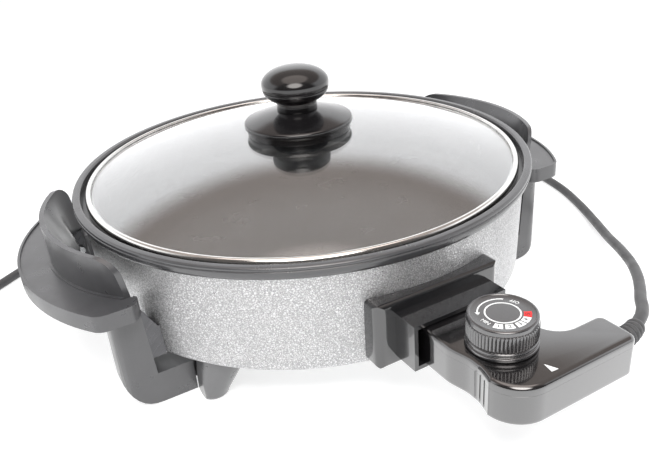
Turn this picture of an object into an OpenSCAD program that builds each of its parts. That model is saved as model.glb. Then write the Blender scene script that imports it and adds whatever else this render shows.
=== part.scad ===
// Round electric skillet with a lift-off glass lid and a plug-in thermostat.
// Millimetres, +Z up, the feet on z = 0. The shapes are drawn round the pan's own axis,
// with the thermostat towards -Y and the handles towards -X and +X. The whole object is
// then moved along Y, so that the origin is under the middle of everything but the cord.

/* [Pan] */
// Height of the rim plane above the table
rim_z = 120; // [118:1:124]
// Outer radius of the rim
rim_r = 190; // [188:1:194]
// Height of the cooking surface
floor_z = 66; // [64:1:68]
// Thickness of the pan floor
floor_t = 5; // [4:0.5:6]
// Radius of the outer wall at its foot
wall_foot_r = 181.7; // [181:0.1:182]
// Radius of the outer wall under the rim
wall_top_r = 184; // [183.8:0.1:184.4]
// Radius of the fillet between cooking surface and wall
floor_fillet = 12; // [8:1:14]

/* [Handles] */
// Height of the underside of the grips
grip_z = 80; // [79:1:81]
// Thickness of the grips at their edge
grip_t = 12.5; // [11:0.5:13]
// Radius of the grip's outer edge
grip_edge_r = 151; // [149:1:152]
// Half the width of each guard between pan and grip
guard_half_y = 80; // [78:1:81]
// Thickness of the guard's walls
guard_t = 3.5; // [3:0.5:4]

/* [Lid] */
// Outer radius of the glass dome as a sphere
dome_r = 567; // [560:1:575]
// Thickness of the glass
glass_t = 4; // [3.5:0.5:4.5]
// Height of the top of the glass
dome_z = 150; // [149:1:151]
// Outer radius of the steel band
band_r = 180; // [179:0.5:181]

/* [Knob] */
// Largest radius of the knob
knob_r = 27.7; // [26:0.1:29]
// Height of the top of the knob
knob_top_z = 202; // [200:1:204]
// Radius of the knob's wide skirt
knob_skirt_r = 45; // [43:1:47]

/* [Socket and pins] */
// Sideways distance of each contact pin from the middle
pin_x = 16; // [15:0.5:17]
// Height of the pins and of the sensor above the table
pin_z = 57; // [56.8:0.1:57.2]
// Radius of a contact pin
pin_r = 2.5; // [2.3:0.1:2.6]
// Radius of the heating ring
element_r = 120; // [110:1:125]

/* [Controller] */
// Height of the controller's underside
case_z = 51; // [51:0.5:51.5]
// Height of its flat top
case_top_z = 78; // [77.5:0.5:78]
// Wall thickness of its case
case_wall = 2.5; // [2:0.1:2.6]
// Distance of the dial from the pan's axis
dial_y = 250; // [249:1:251]
// Radius of the dial
dial_r = 22.3; // [21:0.1:22.8]
// Height of the dial's top
dial_top_z = 99.5; // [97:0.5:101]
// Number of ridges round the dial
dial_ridges = 40; // [30:2:48]

/* [Cord] */
// Diameter of the cord
cord_d = 8.5; // [8:0.1:8.6]
// Middle radius of the coil that is put away
coil_r = 46.5; // [46:0.5:50]

/* [Hidden] */
$fn = 96;
// Distance from the pan's axis to the middle of the whole object
pan_y = 52;

// Pan
skirt_z = 37;
wall_top_z = 113.9;
skirt_in_r = 178.2;
seat_z = rim_z - 3;
seat_in_r = 177.5;
bowl_top_r = 176.8;
bowl_low_r = 172.9;
boss_at = [136, 96];
foot_top_at = [124, 92];
boss_r = 7;
cover_t = 1.2;
rivet_z = 50;
rivet_az = [-18, 0, 18];
rivet_r = 2;
fit = 0.15;

// Handles
guard_top_z = 122.5;
guard_corner = 13;
guard_edge_x = 100.5;
guard_edge_r = 115;
guard_lip_x = 86;
guard_lip_r = 130;
guard_back_x = 150;
scoop_r = 192.8;
scoop_reach = 100;
hollow_half_y = 61;
grip_top_z = grip_z + grip_t;
grip_edge_x = 88;
grip_corner_at = [199.87, 82.5];
grip_corner = 12;
grip_nose_at = [186, 84.5];
grip_nose = 10;
grip_in_r = 190;
grip_wall = 3;
lip_w = 1.8;
lip_h = 1.2;
leg_x = [147, 173.5, 198];
leg_top_x = 177.2;
leg_y = [63, 85];
leg_z = [1, 26.5, 89];
leg_front_t = 5;
leg_wall = 3;
leg_side_r = 14;
leg_foot_r = 24;
bracket_t = 1.5;
bracket_y = leg_y[1] - leg_front_t;
bracket_top_z = 62;
flange_top_z = 78;
flange_x = 190;
flange_in_x = 174.5;
leg_screw_at = [184, 60];
foot_r = 8.5;
foot_top_r = 21;
tongue = [6, 12, 14];

// Lid and knob
glass_r = 176;
hole_r = 6;
dome_c = dome_z - dome_r;
collar_r = 24;
collar_z = 131;
screw_bore = 2.7;
skirt_step_r = knob_skirt_r - 2;
skirt_top_z = 168;
neck_r = 17.3;
neck_top_z = 171;
knob_wide_z = 188.5;
seam_z = 183.5;
seam_in_r = 25.9;
insert_r = 5;

// Socket
base_half = 52;
base_z = [40, 90];
base_y = -191;
base_front_t = 3.5;
socket_out = [37.8, 47.5, 82];
socket_wall = 3;
socket_y = -212;
socket_back_t = 2.5;
socket_screw_at = [38, 54];
pin_tip_y = -207;
bead_r = 4.4;
window_half = 26;
window_z = [46, 61.6];
well_r = 3.9;
well_end_y = -120;
elbow_r = 10;
elbow_a = asin((pin_x + elbow_r) / (element_r + elbow_r));

// Controller
neck_half = 30;
neck_y = -197;
case_split_z = 71.5;
case_bevel = 3;
case_front_y = -294;
dial_at = [0, -dial_y];
spindle_r = 3;
switch_top_z = 67.5;
switch_half = [18, 16];
case_screws = [[-23, -233], [-19, -278], [46, -286]];
relief_at = [70, -279, 65];
relief_bend = 50;
relief_a = 24;
relief_root = 2;
relief_ribs = 5;

// Cord route from the strain relief to the coil, round the back of the pan
relief_end = relief_at
    + [relief_root + relief_bend * sin(relief_a), relief_bend * (1 - cos(relief_a)), 0];
relief_dir = [cos(relief_a), sin(relief_a), 0];
coil_at = [-336, 178];
coil_heading = -145;
coil_dir = [cos(coil_heading), sin(coil_heading), 0];
coil_pitch = cord_d + 0.8;
coil_low_z = 5.5;
coil_out_r = coil_r + coil_pitch / 2;
coil_in_r = coil_r - coil_pitch / 2;
coil_turns = 2;
coil_rings = 24;
coil_start = [coil_at.x + coil_out_r * cos(coil_heading + 90),
              coil_at.y + coil_out_r * sin(coil_heading + 90), coil_low_z];
coil_end = coil_start + [0, 0, coil_pitch];
cord_hand_points = [
    [108, -267, 64], [119, -259, 61], [133, -247, 56], [152, -232, 50], [175, -212, 43],
    [200, -187, 34], [226, -156, 24], [252, -120, 14], [278, -82, 7], [300, -42, 4.3],
    [316, 0, 4.3], [324, 45, 4.3], [320, 92, 4.3], [303, 140, 4.3], [270, 182, 4.3],
    [226, 214, 4.3], [170, 234, 4.3], [105, 243, 4.3], [35, 245, 4.3], [-35, 242, 4.3],
    [-105, 234, 4.3], [-170, 217, 4.3], [-220, 193, 4.3], [-262, 165, 4.3]];
cord_route = concat([relief_end, relief_end + relief_dir * cord_d], cord_hand_points,
                    [coil_start - coil_dir * cord_d]);
cord_sides = 10;
coil_sides = 6;

// Plug, lying on the table beside the coil
plug_r = 18.5;
tail_l = 46;
plug_relief_l = 16;
plug_l = 46;
plug_pin_y = 9.5;
plug_pin_l = 19;
plug_at = [coil_end.x, coil_end.y, plug_r] + coil_dir * (cord_d + tail_l);
tail_route = [coil_end + coil_dir * cord_d, coil_end + coil_dir * (cord_d + 10),
              [coil_end.x, coil_end.y, 16.5] + coil_dir * (cord_d + 23),
              plug_at - coil_dir * 10, plug_at];

// Points of an arc from angle a0 to a1 in n steps
function arc(cx, cy, r, a0, a1, n) =
    [for (i = [0:n]) let (a = a0 + (a1 - a0) * i / n) [cx + r * cos(a), cy + r * sin(a)]];

// Rectangle with round corners, centred on the origin
function round_rect(w, h, r, n) = concat(
    arc(w / 2 - r, h / 2 - r, r, 0, 90, n), arc(r - w / 2, h / 2 - r, r, 90, 180, n),
    arc(r - w / 2, r - h / 2, r, 180, 270, n), arc(w / 2 - r, r - h / 2, r, 270, 360, n));

// Radius of the pan's outer wall at height z
function wall_r(z) = wall_foot_r
    + (wall_top_r - wall_foot_r) * (z - skirt_z) / (wall_top_z - skirt_z);

// Height of the glass dome at radius r, off by g from its outer face
function dome(r, g) = dome_c + sqrt(pow(dome_r + g, 2) - r * r);

// Points along the dome from radius r0 to r1 in n steps
function dome_points(r0, r1, g, n) =
    [for (i = [0:n]) let (r = r0 + (r1 - r0) * i / n) [r, dome(r, g)]];

// One point between p1 and p2 of the smooth curve through a route
function curve_point(p0, p1, p2, p3, t) = 0.5 * (2 * p1 + (p2 - p0) * t
    + (2 * p0 - 5 * p1 + 4 * p2 - p3) * t * t + (3 * p1 - p0 - 3 * p2 + p3) * t * t * t);

// Smooth path through every point of a route, with n steps from point to point
function smooth_path(q, n) = let (m = len(q) - 1) concat(
    [for (i = [0:m - 1], k = [0:n - 1]) curve_point(i > 0 ? q[i - 1] : 2 * q[0] - q[1],
        q[i], q[i + 1], i < m - 1 ? q[i + 2] : 2 * q[m] - q[m - 1], k / n)], [q[m]]);

// Ring of a tube round point p, square to direction d
function tube_ring(p, d, r, n) =
    let (side = cross([0, 0, 1], d) / norm(cross([0, 0, 1], d)), up = cross(d / norm(d), side))
    [for (i = [0:n - 1]) p + r * (cos(360 * i / n) * side + sin(360 * i / n) * up)];

// Length of a path
function path_length(p, i = 0) =
    i >= len(p) - 1 ? 0 : norm(p[i + 1] - p[i]) + path_length(p, i + 1);

// Radius and height of the coil after t turns: in on the low layer, half a turn of
// climbing, and out again on the high layer
function coil_radius(t) = let (side = (coil_turns - 0.5) / 2)
    t < side ? coil_out_r - coil_pitch * t / side
    : t < side + 0.5 ? coil_in_r : coil_in_r + coil_pitch * (t - side - 0.5) / side;
function coil_z(t) = coil_low_z + coil_pitch * ease((t - (coil_turns - 0.5) / 2) / 0.5);

coil_path = concat([coil_start - coil_dir * cord_d],
    [for (i = [0:coil_turns * coil_rings]) let (t = i / coil_rings,
        a = coil_heading + 90 - 360 * t)
        [coil_at.x + coil_radius(t) * cos(a), coil_at.y + coil_radius(t) * sin(a), coil_z(t)]],
    [coil_end + coil_dir * cord_d]);
coil_gap = min([for (i = [0:len(coil_path) - 1], j = [i + coil_rings / 2:1:len(coil_path) - 1])
    norm(coil_path[i] - coil_path[j])]) - cord_d;
cord_path = smooth_path(cord_route, 2);
tail_path = smooth_path(tail_route, 2);
echo(str("Least gap of the coil to itself: ", coil_gap, " mm"));
echo(str("Length of the cord: ",
    path_length(cord_path) + path_length(coil_path) + path_length(tail_path), " mm"));

// The whole object stands round the origin
module placed() {
    translate([0, pan_y, 0]) children();
}

// Closed solid through rings with equal numbers of points. Each end is a fan of triangles
// from the ring's first point, which has to see the whole ring.
module loft(rings) {
    n = len(rings[0]);
    top = (len(rings) - 1) * n;
    polyhedron(points = [for (r = rings) each r], faces = concat(
        [for (i = [1:n - 2]) [0, i, i + 1]],
        [for (k = [0:len(rings) - 2], i = [0:n - 1])
            let (a = k * n + i, b = k * n + (i + 1) % n) each [[a, b + n, b], [a, a + n, b + n]]],
        [for (i = [1:n - 2]) [top, top + i + 1, top + i]]));
}

// Tube along a path, whose ends are square to the directions d0 and d1
module tube(path, r, sides, d0, d1) {
    last = len(path) - 1;
    loft([for (i = [0:last]) tube_ring(path[i],
        i == 0 ? d0 : i == last ? d1 : path[i + 1] - path[i - 1], r, sides)]);
}

// Cylinder along Y from y0 to y1
module rod_y(x, z, y0, y1, r) {
    translate([x, min(y0, y1), z]) rotate([-90, 0, 0]) cylinder(r = r, h = abs(y1 - y0));
}

// Outline in X and Z, pushed out along Y from y0 to y1
module slab_y(y0, y1, points) {
    translate([0, y1, 0]) rotate([90, 0, 0]) linear_extrude(y1 - y0) polygon(points);
}

// Solid cone inside the pan's outer wall, grown by g
module wall_cone(g, z0, z1) {
    rotate_extrude($fn = 144)
        polygon([[0, z0], [wall_r(z0) + g, z0], [wall_r(z1) + g, z1], [0, z1]]);
}

// Copies at the four feet
module at_feet() {
    for (x = [-1, 1], y = [-1, 1]) translate([x * boss_at.x, y * boss_at.y, 0]) children();
}

// Holes or rivets on both sides of the wall, each along its own radius
module at_rivets() {
    for (side = [0, 180], a = rivet_az) rotate(side + a) translate([0, 0, rivet_z])
        rotate([0, 90, 0]) children();
}

module pan() color("darkgray") placed() {
    difference() {
        union() {
            rotate_extrude($fn = 144) polygon(concat(
                [[0, floor_z - floor_t], [skirt_in_r, floor_z - floor_t], [skirt_in_r, skirt_z]],
                arc(wall_foot_r - 3, skirt_z + 3, 3, -90, 0, 3),
                [[wall_top_r, wall_top_z], [wall_top_r, seat_z], [seat_in_r, seat_z],
                 [bowl_top_r, seat_z - 1.2]],
                arc(bowl_low_r - floor_fillet, floor_z + floor_fillet, floor_fillet, 0, -90, 6),
                [[0, floor_z]]));
            at_feet() translate([0, 0, skirt_z + cover_t])
                cylinder(r = boss_r, h = floor_z - floor_t / 2 - skirt_z - cover_t);
        }
        at_feet() translate([0, 0, skirt_z]) cylinder(r = 2.05, h = 15);
        translate([-window_half, -rim_r, window_z[0]])
            cube([2 * window_half, 25, window_z[1] - window_z[0]]);
        at_rivets() translate([0, 0, 170]) cylinder(r = rivet_r + 0.1, h = 20);
        for (x = [-1, 1] * socket_screw_at.x) {
            rod_y(x, socket_screw_at.y, -185, -165, 2);
            rod_y(x, socket_screw_at.y, -175.3, -165, 4.5);
        }
    }
}

// Black ring that sits on the wall and round it, with a step on its outside
module rim_ring() color("dimgray") placed() {
    rotate_extrude($fn = 144) polygon([
        [wall_top_r + 0.1, wall_top_z], [187.2, wall_top_z], [rim_r - 1, rim_z - 4],
        [rim_r, rim_z - 0.5], [rim_r, rim_z + 0.6], [rim_r - 0.7, rim_z + 1],
        [rim_r - 0.2, rim_z + 1.6], [rim_r - 0.2, rim_z + 3], [rim_r - 1.2, rim_z + 4],
        [184.6, rim_z + 4], [183.6, rim_z + 3.2], [182.6, seat_z], [wall_top_r + 0.1, seat_z]]);
}

// Sheet over the heating ring, with its middle pressed in
module base_cover() color("silver") placed() {
    difference() {
        rotate_extrude($fn = 144) polygon([
            [0, skirt_z + 2], [60, skirt_z + 2], [64, skirt_z], [skirt_in_r - 0.5, skirt_z],
            [skirt_in_r - 0.5, skirt_z + cover_t], [63.5, skirt_z + cover_t],
            [59.5, skirt_z + 2 + cover_t], [0, skirt_z + 2 + cover_t]]);
        at_feet() cylinder(r = 2.2, h = 60);
    }
}

// Ring under the floor, bent out at both ends towards the socket
module heating_element() color("slategray") placed() translate([0, 0, pin_z]) {
    rotate(-90 + elbow_a - 0.2) rotate_extrude(angle = 360.4 - 2 * elbow_a)
        translate([element_r, 0]) circle(r = 3.9, $fn = 32);
    for (s = [-1, 1]) {
        translate([s * (pin_x + elbow_r), -(element_r + elbow_r) * cos(elbow_a), 0]) {
            rotate(s > 0 ? 90 + elbow_a : -2) rotate_extrude(angle = 92 - elbow_a)
                translate([elbow_r, 0]) circle(r = 3.7, $fn = 32);
            rod_y(-s * elbow_r, 0, -48.6, 0.2, 3.5);
        }
    }
}

module contact_pins() color("gainsboro") placed() {
    for (x = [-1, 1] * pin_x) {
        rod_y(x, pin_z, pin_tip_y + 1.5, -176, pin_r);
        translate([x, pin_tip_y, pin_z]) rotate([-90, 0, 0])
            cylinder(r1 = pin_r - 1, r2 = pin_r, h = 1.5);
    }
}

module pin_insulators() color("ivory") placed() {
    for (x = [-1, 1] * pin_x) difference() {
        rod_y(x, pin_z, -195.5, -177, bead_r);
        rod_y(x, pin_z, -196, -176, pin_r + 0.05);
    }
}

// Tube that is closed at its inner end
module sensor_well() color("silver") placed() {
    difference() {
        rod_y(0, pin_z, -193, well_end_y, well_r);
        rod_y(0, pin_z, -194, well_end_y - 2, 3.25);
    }
}

// Moulded block that carries the socket, hollow behind and hugging the wall
module connector_base() color("black") placed() {
    difference() {
        intersection() {
            translate([0, 0, base_z[0]]) linear_extrude(base_z[1] - base_z[0]) polygon(concat(
                [[base_half, -165], [-base_half, -165]],
                arc(8 - base_half, base_y + 8, 8, 180, 270, 6),
                arc(base_half - 8, base_y + 8, 8, 270, 360, 6)));
            slab_y(base_y - 1, -160, [for (p = round_rect(2 * base_half, base_z[1] - base_z[0],
                4, 4)) p + [0, (base_z[0] + base_z[1]) / 2]]);
            translate([-60, 0, 0]) rotate([90, 0, 90]) linear_extrude(120) polygon(concat(
                [[-160, base_z[0]], [-160, base_z[1]]],
                arc(base_y + 4, base_z[1] - 4, 4, 90, 180, 4),
                arc(base_y + 4, base_z[0] + 4, 4, 180, 270, 4)));
        }
        wall_cone(fit, 30, 100);
        difference() {
            translate([-46, base_y + base_front_t, 44]) cube([92, 40, 42]);
            for (x = [-1, 1] * socket_screw_at.x)
                rod_y(x, socket_screw_at.y, base_y, -165, 5);
        }
        for (x = [-1, 1] * pin_x) rod_y(x, pin_z, -200, -180, bead_r + 0.1);
        rod_y(0, pin_z, -200, -180, well_r + 0.1);
        for (x = [-1, 1] * socket_screw_at.x)
            rod_y(x, socket_screw_at.y, -187.5, -165, 1.8);
    }
}

// Open rectangular socket round the pins
module connector_shroud() color("dimgray") placed() {
    height = socket_out[2] - socket_out[1];
    difference() {
        translate([-socket_out[0], socket_y, socket_out[1]])
            cube([2 * socket_out[0], base_y - socket_y, height]);
        translate([socket_wall - socket_out[0], socket_y - 1, socket_out[1] + socket_wall])
            cube([2 * (socket_out[0] - socket_wall), base_y - socket_back_t - socket_y + 1,
                  height - 2 * socket_wall]);
        for (x = [-1, 1] * pin_x) rod_y(x, pin_z, -200, -190, bead_r + 0.1);
        rod_y(0, pin_z, -200, -190, well_r + 0.1);
    }
}

// Screw along Y with its head at y0 and its point towards -Y
module screw_y(x, z, y0, head_r, head_h, r, l) {
    rod_y(x, z, y0, y0 + head_h, head_r);
    rod_y(x, z, y0 - l, y0 + 0.2, r);
}

module connector_screws() color("lightsteelblue") placed() {
    for (x = [-1, 1] * socket_screw_at.x) screw_y(x, socket_screw_at.y, -175.3, 3.6, 2.2, 1.75, 11);
}

// Outline of a grip, drawn in by i
function grip_outline(i) = let (half = atan2(grip_corner_at.y, grip_corner_at.x - grip_edge_x),
    in_a = atan2(grip_nose_at.y + (grip_nose - i) * sin(205),
                 grip_nose_at.x + (grip_nose - i) * cos(205)))
    concat(
    arc(grip_edge_x, 0, grip_edge_r - i, -half, half, 24),
    arc(grip_corner_at.x, grip_corner_at.y, grip_corner - i, half + 8, 90, 5),
    arc(grip_nose_at.x, grip_nose_at.y, grip_nose - i, 90, 200, 7),
    arc(0, 0, grip_in_r + i, in_a, -in_a, 12),
    arc(grip_nose_at.x, -grip_nose_at.y, grip_nose - i, 160, 270, 7),
    arc(grip_corner_at.x, -grip_corner_at.y, grip_corner - i, 270, 352 - half, 5));

// Outline of the guard from above, grown by g on its round side
function guard_outline(g) = let (a = asin(guard_half_y / (guard_edge_r + g)))
    concat(arc(guard_edge_x, 0, guard_edge_r + g, -a, a, 24),
           [[guard_back_x, guard_half_y], [guard_back_x, -guard_half_y]]);

// Smooth step from 0 to 1
function ease(u) = u < 0 ? 0 : u > 1 ? 1 : u * u * (3 - 2 * u);

// Distance in X of the guard's outside at y and z, grown by g: one arc at the grip and a
// wider one on top
function guard_x(y, z, g) = let (low = guard_edge_x + sqrt(pow(guard_edge_r + g, 2) - y * y),
    high = guard_lip_x + sqrt(pow(guard_lip_r + g, 2) - y * y),
    u = max(z - grip_top_z, 0) / (guard_top_z - grip_top_z)) low + (high - low) * u;

// Distance in X of the guard's inside: it follows the pan below, its own outside on top,
// and thins out towards both ends
function scoop_x(y, z) = let (pan_x = sqrt(scoop_r * scoop_r - y * y),
    low = pan_x + max(guard_x(y, grip_z, -guard_t) - pan_x, 0) * ease((abs(y) - 40) / 35),
    u = max(z - grip_z, 0) / (guard_top_z - grip_z))
    low + (guard_x(y, guard_top_z, -guard_t) - low) * pow(u, 1.25);

// Solid between heights z0 and z1 under an outline
module plate(z0, z1, outline) {
    translate([0, 0, z0]) linear_extrude(z1 - z0) polygon(outline);
}

// Grip with its lip on top and its hollow underneath
module grip() {
    difference() {
        plate(grip_z, grip_top_z, grip_outline(0));
        difference() {
            plate(grip_top_z - lip_h, grip_top_z + 1, grip_outline(lip_w));
            plate(grip_z, grip_top_z + 2, guard_outline(lip_w));
        }
        difference() {
            plate(grip_z - 1, grip_top_z - 3.5, grip_outline(grip_wall));
            plate(grip_z - 2, grip_top_z, guard_outline(0));
        }
    }
}

// Space in front of the guard's inside, where the pan is, grown by g
module scoop(g) {
    loft([for (z = [grip_z - 1, grip_z, 86, 92, 98, 104, 110, 116, guard_top_z, guard_top_z + 1])
        concat([[100, -scoop_reach, z]],
            [for (i = [-20:20]) let (y = scoop_reach * i / 20) [scoop_x(y, z) + g, y, z]],
            [[100, scoop_reach, z]])]);
}

// Solid behind the guard's outside, grown by g, from z0 to z1 and to half_y on both sides
module guard_block(g, z0, z1, half_y) {
    loft([for (z = [z0, grip_top_z, z1]) concat([[guard_back_x, -half_y, z]],
        [for (i = [-12:12]) let (y = half_y * i / 12) [guard_x(y, z, g), y, z]],
        [[guard_back_x, half_y, z]])]);
}

// Wall that keeps the fingers off the pan, with round top corners
module guard() {
    intersection() {
        guard_block(0, grip_z, guard_top_z, guard_half_y);
        translate([guard_back_x, 0, 0]) rotate([90, 0, 90]) linear_extrude(100)
            polygon(concat([[-guard_half_y, grip_z - 1], [guard_half_y, grip_z - 1]],
                arc(guard_half_y - guard_corner, guard_top_z - guard_corner, guard_corner,
                    0, 90, 8),
                arc(guard_corner - guard_half_y, guard_top_z - guard_corner, guard_corner,
                    90, 180, 8)));
    }
}

// Hollow of the guard, open below and closed on top
module guard_hollow() {
    difference() {
        guard_block(-guard_t, grip_z - 1, guard_top_z - 4, hollow_half_y);
        scoop(guard_t);
    }
}

// Outline of a leg from the side, drawn in by i
function leg_outline(i) = concat(
    [[leg_x[0] + i, leg_z[1] - i], [leg_x[0] + i, leg_z[0] + i]],
    arc(leg_x[2] - leg_foot_r, leg_z[0] + leg_foot_r, leg_foot_r - i, 270, 360, 8),
    [[leg_x[2] - i, leg_z[2] - i], [leg_top_x + i, leg_z[2] - i], [leg_x[1] + i, leg_z[1] - i]]);

// Front leg of a handle: a post and a bar towards the foot, hollow behind
module leg() {
    difference() {
        intersection() {
            slab_y(leg_y[0], leg_y[1], leg_outline(0));
            plate(0, leg_z[2] + 1, concat(
                [[leg_x[0] - 1, leg_y[1]], [leg_x[0] - 1, leg_y[0]], [leg_x[2], leg_y[0]]],
                arc(leg_x[2] - leg_side_r, leg_y[1] - leg_side_r, leg_side_r, 0, 90, 6)));
        }
        intersection() {
            slab_y(leg_y[0] - 1, bracket_y, leg_outline(leg_wall));
            plate(0, leg_z[2] + 1, concat(
                [[leg_x[0] - 1, leg_y[1]], [leg_x[0] - 1, leg_y[0] - 2],
                 [leg_x[2], leg_y[0] - 2]],
                arc(leg_x[2] - leg_side_r, leg_y[1] - leg_side_r, leg_side_r - leg_wall,
                    0, 90, 6)));
        }
        translate([leg_x[1] - 1, bracket_y - bracket_t - 0.2, skirt_z - 0.5])
            cube([leg_top_x - leg_x[1] + leg_wall + 2, bracket_t + 0.2,
                  flange_top_z - skirt_z + 1]);
        rod_y(leg_screw_at.x, leg_screw_at.y, bracket_y - 1, leg_y[1] - 1, 1.9);
    }
    translate([leg_x[0] - tongue.x, leg_y[0] + 5, leg_z[0] + 7])
        cube([tongue.x + 1, tongue.y, tongue.z]);
}

// Right handle
module handle() {
    difference() {
        union() {
            guard();
            grip();
            leg();
            mirror([0, 1, 0]) leg();
        }
        guard_hollow();
        scoop(0);
    }
}

module handle_right() color("dimgray") placed() handle();

module handle_left() color("dimgray") placed() mirror([1, 0, 0]) handle();

// Right bracket: sheet round the wall, with a flange at each end
module bracket() {
    difference() {
        union() {
            intersection() {
                wall_cone(fit + bracket_t, skirt_z, bracket_top_z);
                translate([150, -bracket_y, 0]) cube([60, 2 * bracket_y, 200]);
            }
            for (y = [-bracket_y, bracket_y - bracket_t]) slab_y(y, y + bracket_t, [
                [155, skirt_z], [flange_x, skirt_z], [flange_x, flange_top_z],
                [flange_in_x, flange_top_z], [flange_in_x - 9, bracket_top_z],
                [155, bracket_top_z]]);
        }
        wall_cone(fit, 30, 120);
        at_rivets() translate([0, 0, 170]) cylinder(r = rivet_r + 0.1, h = 20);
        rod_y(leg_screw_at.x, leg_screw_at.y, -90, 90, 2.1);
    }
}

module bracket_right() color("silver") placed() bracket();

module bracket_left() color("silver") placed() mirror([1, 0, 0]) bracket();

// Rivets through wall and bracket, each with a low head that sits on the bent sheet
module bracket_rivets() color("gainsboro") placed() {
    outside = wall_r(rivet_z) + fit + bracket_t;
    at_rivets() {
        translate([0, 0, skirt_in_r - 1.2]) cylinder(r = rivet_r, h = outside - skirt_in_r + 1.4);
        translate([0, 0, skirt_in_r - 1.2]) cylinder(r = 3.4, h = 1.1);
    }
    difference() {
        at_rivets() translate([0, 0, outside - 0.4]) cylinder(r1 = 4.4, r2 = 2.6, h = 1.8);
        wall_cone(fit + bracket_t + 0.02, rivet_z - 8, rivet_z + 8);
    }
}

// Screws that hold the flanges to the legs, their heads on the flanges
module handle_screws() color("lightsteelblue") placed()
    for (a = [0, 1], b = [0, 1]) mirror([a, 0, 0]) mirror([0, b, 0]) {
        head_y = bracket_y - bracket_t;
        rod_y(leg_screw_at.x, leg_screw_at.y, head_y - 2.4, head_y, 4);
        rod_y(leg_screw_at.x, leg_screw_at.y, head_y - 0.2, leg_y[1] - 1.2, 1.85);
    }

// Tapered foot, wide under the pan and narrow on the table
module foot() {
    difference() {
        hull() {
            translate([boss_at.x, boss_at.y, 0])
                cylinder(r1 = foot_r, r2 = foot_r + 2, h = 2.5, $fn = 32);
            translate([foot_top_at.x, foot_top_at.y, skirt_z - 4])
                cylinder(r = foot_top_r, h = 4, $fn = 32);
        }
        translate([leg_x[0] - 0.1, 0, -1]) cube([60, 150, 60]);
        translate([boss_at.x, boss_at.y, -1]) cylinder(r = 5, h = 14);
        translate([boss_at.x, boss_at.y, 0]) cylinder(r = 2.2, h = 60);
        translate([leg_x[0] - tongue.x - 0.2, leg_y[0] + 4.8, leg_z[0] + 6.8])
            cube([20, tongue.y + 0.4, tongue.z + 0.4]);
    }
}

module foot_rear_right() color("black") placed() foot();

module foot_rear_left() color("black") placed() mirror([1, 0, 0]) foot();

module foot_front_right() color("black") placed() mirror([0, 1, 0]) foot();

module foot_front_left() color("black") placed() mirror([1, 0, 0]) mirror([0, 1, 0]) foot();

module foot_screws() color("lightsteelblue") placed() at_feet() {
    translate([0, 0, 10]) cylinder(r = 4.4, h = 3);
    translate([0, 0, 12.5]) cylinder(r = 2, h = 38);
}

module lid_glass() color("lightblue", 0.45) placed() {
    rotate_extrude($fn = 144) polygon(concat(dome_points(hole_r, glass_r, 0, 20),
        dome_points(glass_r, hole_r, -glass_t, 20)));
}

// Steel band folded round the edge of the glass
module lid_band() color("gainsboro") placed() {
    bottom = seat_z + 0.05;
    rotate_extrude($fn = 144) polygon([
        [173.2, bottom + 0.3], [173.6, bottom], [band_r - 1.1, bottom], [band_r, bottom + 1],
        [band_r, 122.4], [band_r - 0.5, 123.6], [band_r - 1.8, 124.3], [176.2, 124.3],
        [175.4, 123.7], [175.4, dome(175.4, 0.06)], [glass_r + 0.1, dome(glass_r + 0.1, 0.06)],
        [glass_r + 0.1, dome(glass_r + 0.1, -glass_t - 0.06)],
        [173.2, dome(173.2, -glass_t - 0.06)]]);
}

module glass_grommet() color("dimgray") placed() {
    rotate_extrude() polygon([[screw_bore, dome(0, -glass_t)], [hole_r - 0.1, dome(0, -glass_t)],
        [hole_r - 0.1, dome(0, 0)], [screw_bore, dome(0, 0)]]);
}

// Wide skirt of the knob: a stepped ring and a low cone over the glass, hollow below
module knob_skirt() color("black") placed() {
    rotate_extrude() polygon(concat(
        [[screw_bore, dome(screw_bore, 0.1)], [10, dome(10, 0.05)], [10, 162], [34, 157.5],
         [39, 155], [39, dome(39, 0.05)]],
        [[skirt_step_r, dome(skirt_step_r, 0.05)], [skirt_step_r, 155], [knob_skirt_r, 156],
         [knob_skirt_r, 160], [knob_skirt_r - 0.9, 161.2]],
        [[30, 165.2], [neck_r + 0.2, skirt_top_z], [screw_bore, skirt_top_z]]));
}

// Mushroom knob with a seam groove, on a short neck
module knob() color("black") placed() {
    bowl = [for (i = [0:8]) let (u = i / 8)
        [knob_r - (knob_r - neck_r) * pow(1 - u, 2), neck_top_z + (knob_wide_z - neck_top_z) * u]];
    difference() {
        rotate_extrude() polygon(concat([[0, skirt_top_z], [neck_r, skirt_top_z]], bowl,
            [for (a = [15:15:75]) [knob_r * cos(a),
                knob_wide_z + (knob_top_z - knob_wide_z) * sin(a)]],
            [[0, knob_top_z]]));
        rotate_extrude() polygon([[seam_in_r, seam_z - 0.5], [knob_r, seam_z - 0.5],
            [knob_r, seam_z + 0.5], [seam_in_r, seam_z + 0.5]]);
        translate([0, 0, skirt_top_z - 1]) cylinder(r = insert_r + 0.05, h = 17);
    }
}

module knob_insert() color("gold") placed() translate([0, 0, skirt_top_z]) difference() {
    cylinder(r = insert_r, h = 16);
    translate([0, 0, -1]) cylinder(r = 2.55, h = 20);
}

// Collar under the glass, which the screw draws up
module lid_collar() color("dimgray") placed() {
    rotate_extrude() polygon([[screw_bore, collar_z + 5], [hole_r, collar_z + 5],
        [hole_r, collar_z], [collar_r - 3, collar_z], [collar_r, collar_z + 3],
        [collar_r, dome(collar_r, -glass_t - 0.05)], [12, dome(12, -glass_t - 0.05)],
        [screw_bore, dome(screw_bore, -glass_t - 0.05)]]);
}

module lid_screw() color("lightsteelblue") placed() {
    translate([0, 0, collar_z + 2]) cylinder(r = 5, h = 3);
    translate([0, 0, collar_z + 4.5]) cylinder(r = 2.5, h = 46);
}

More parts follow.
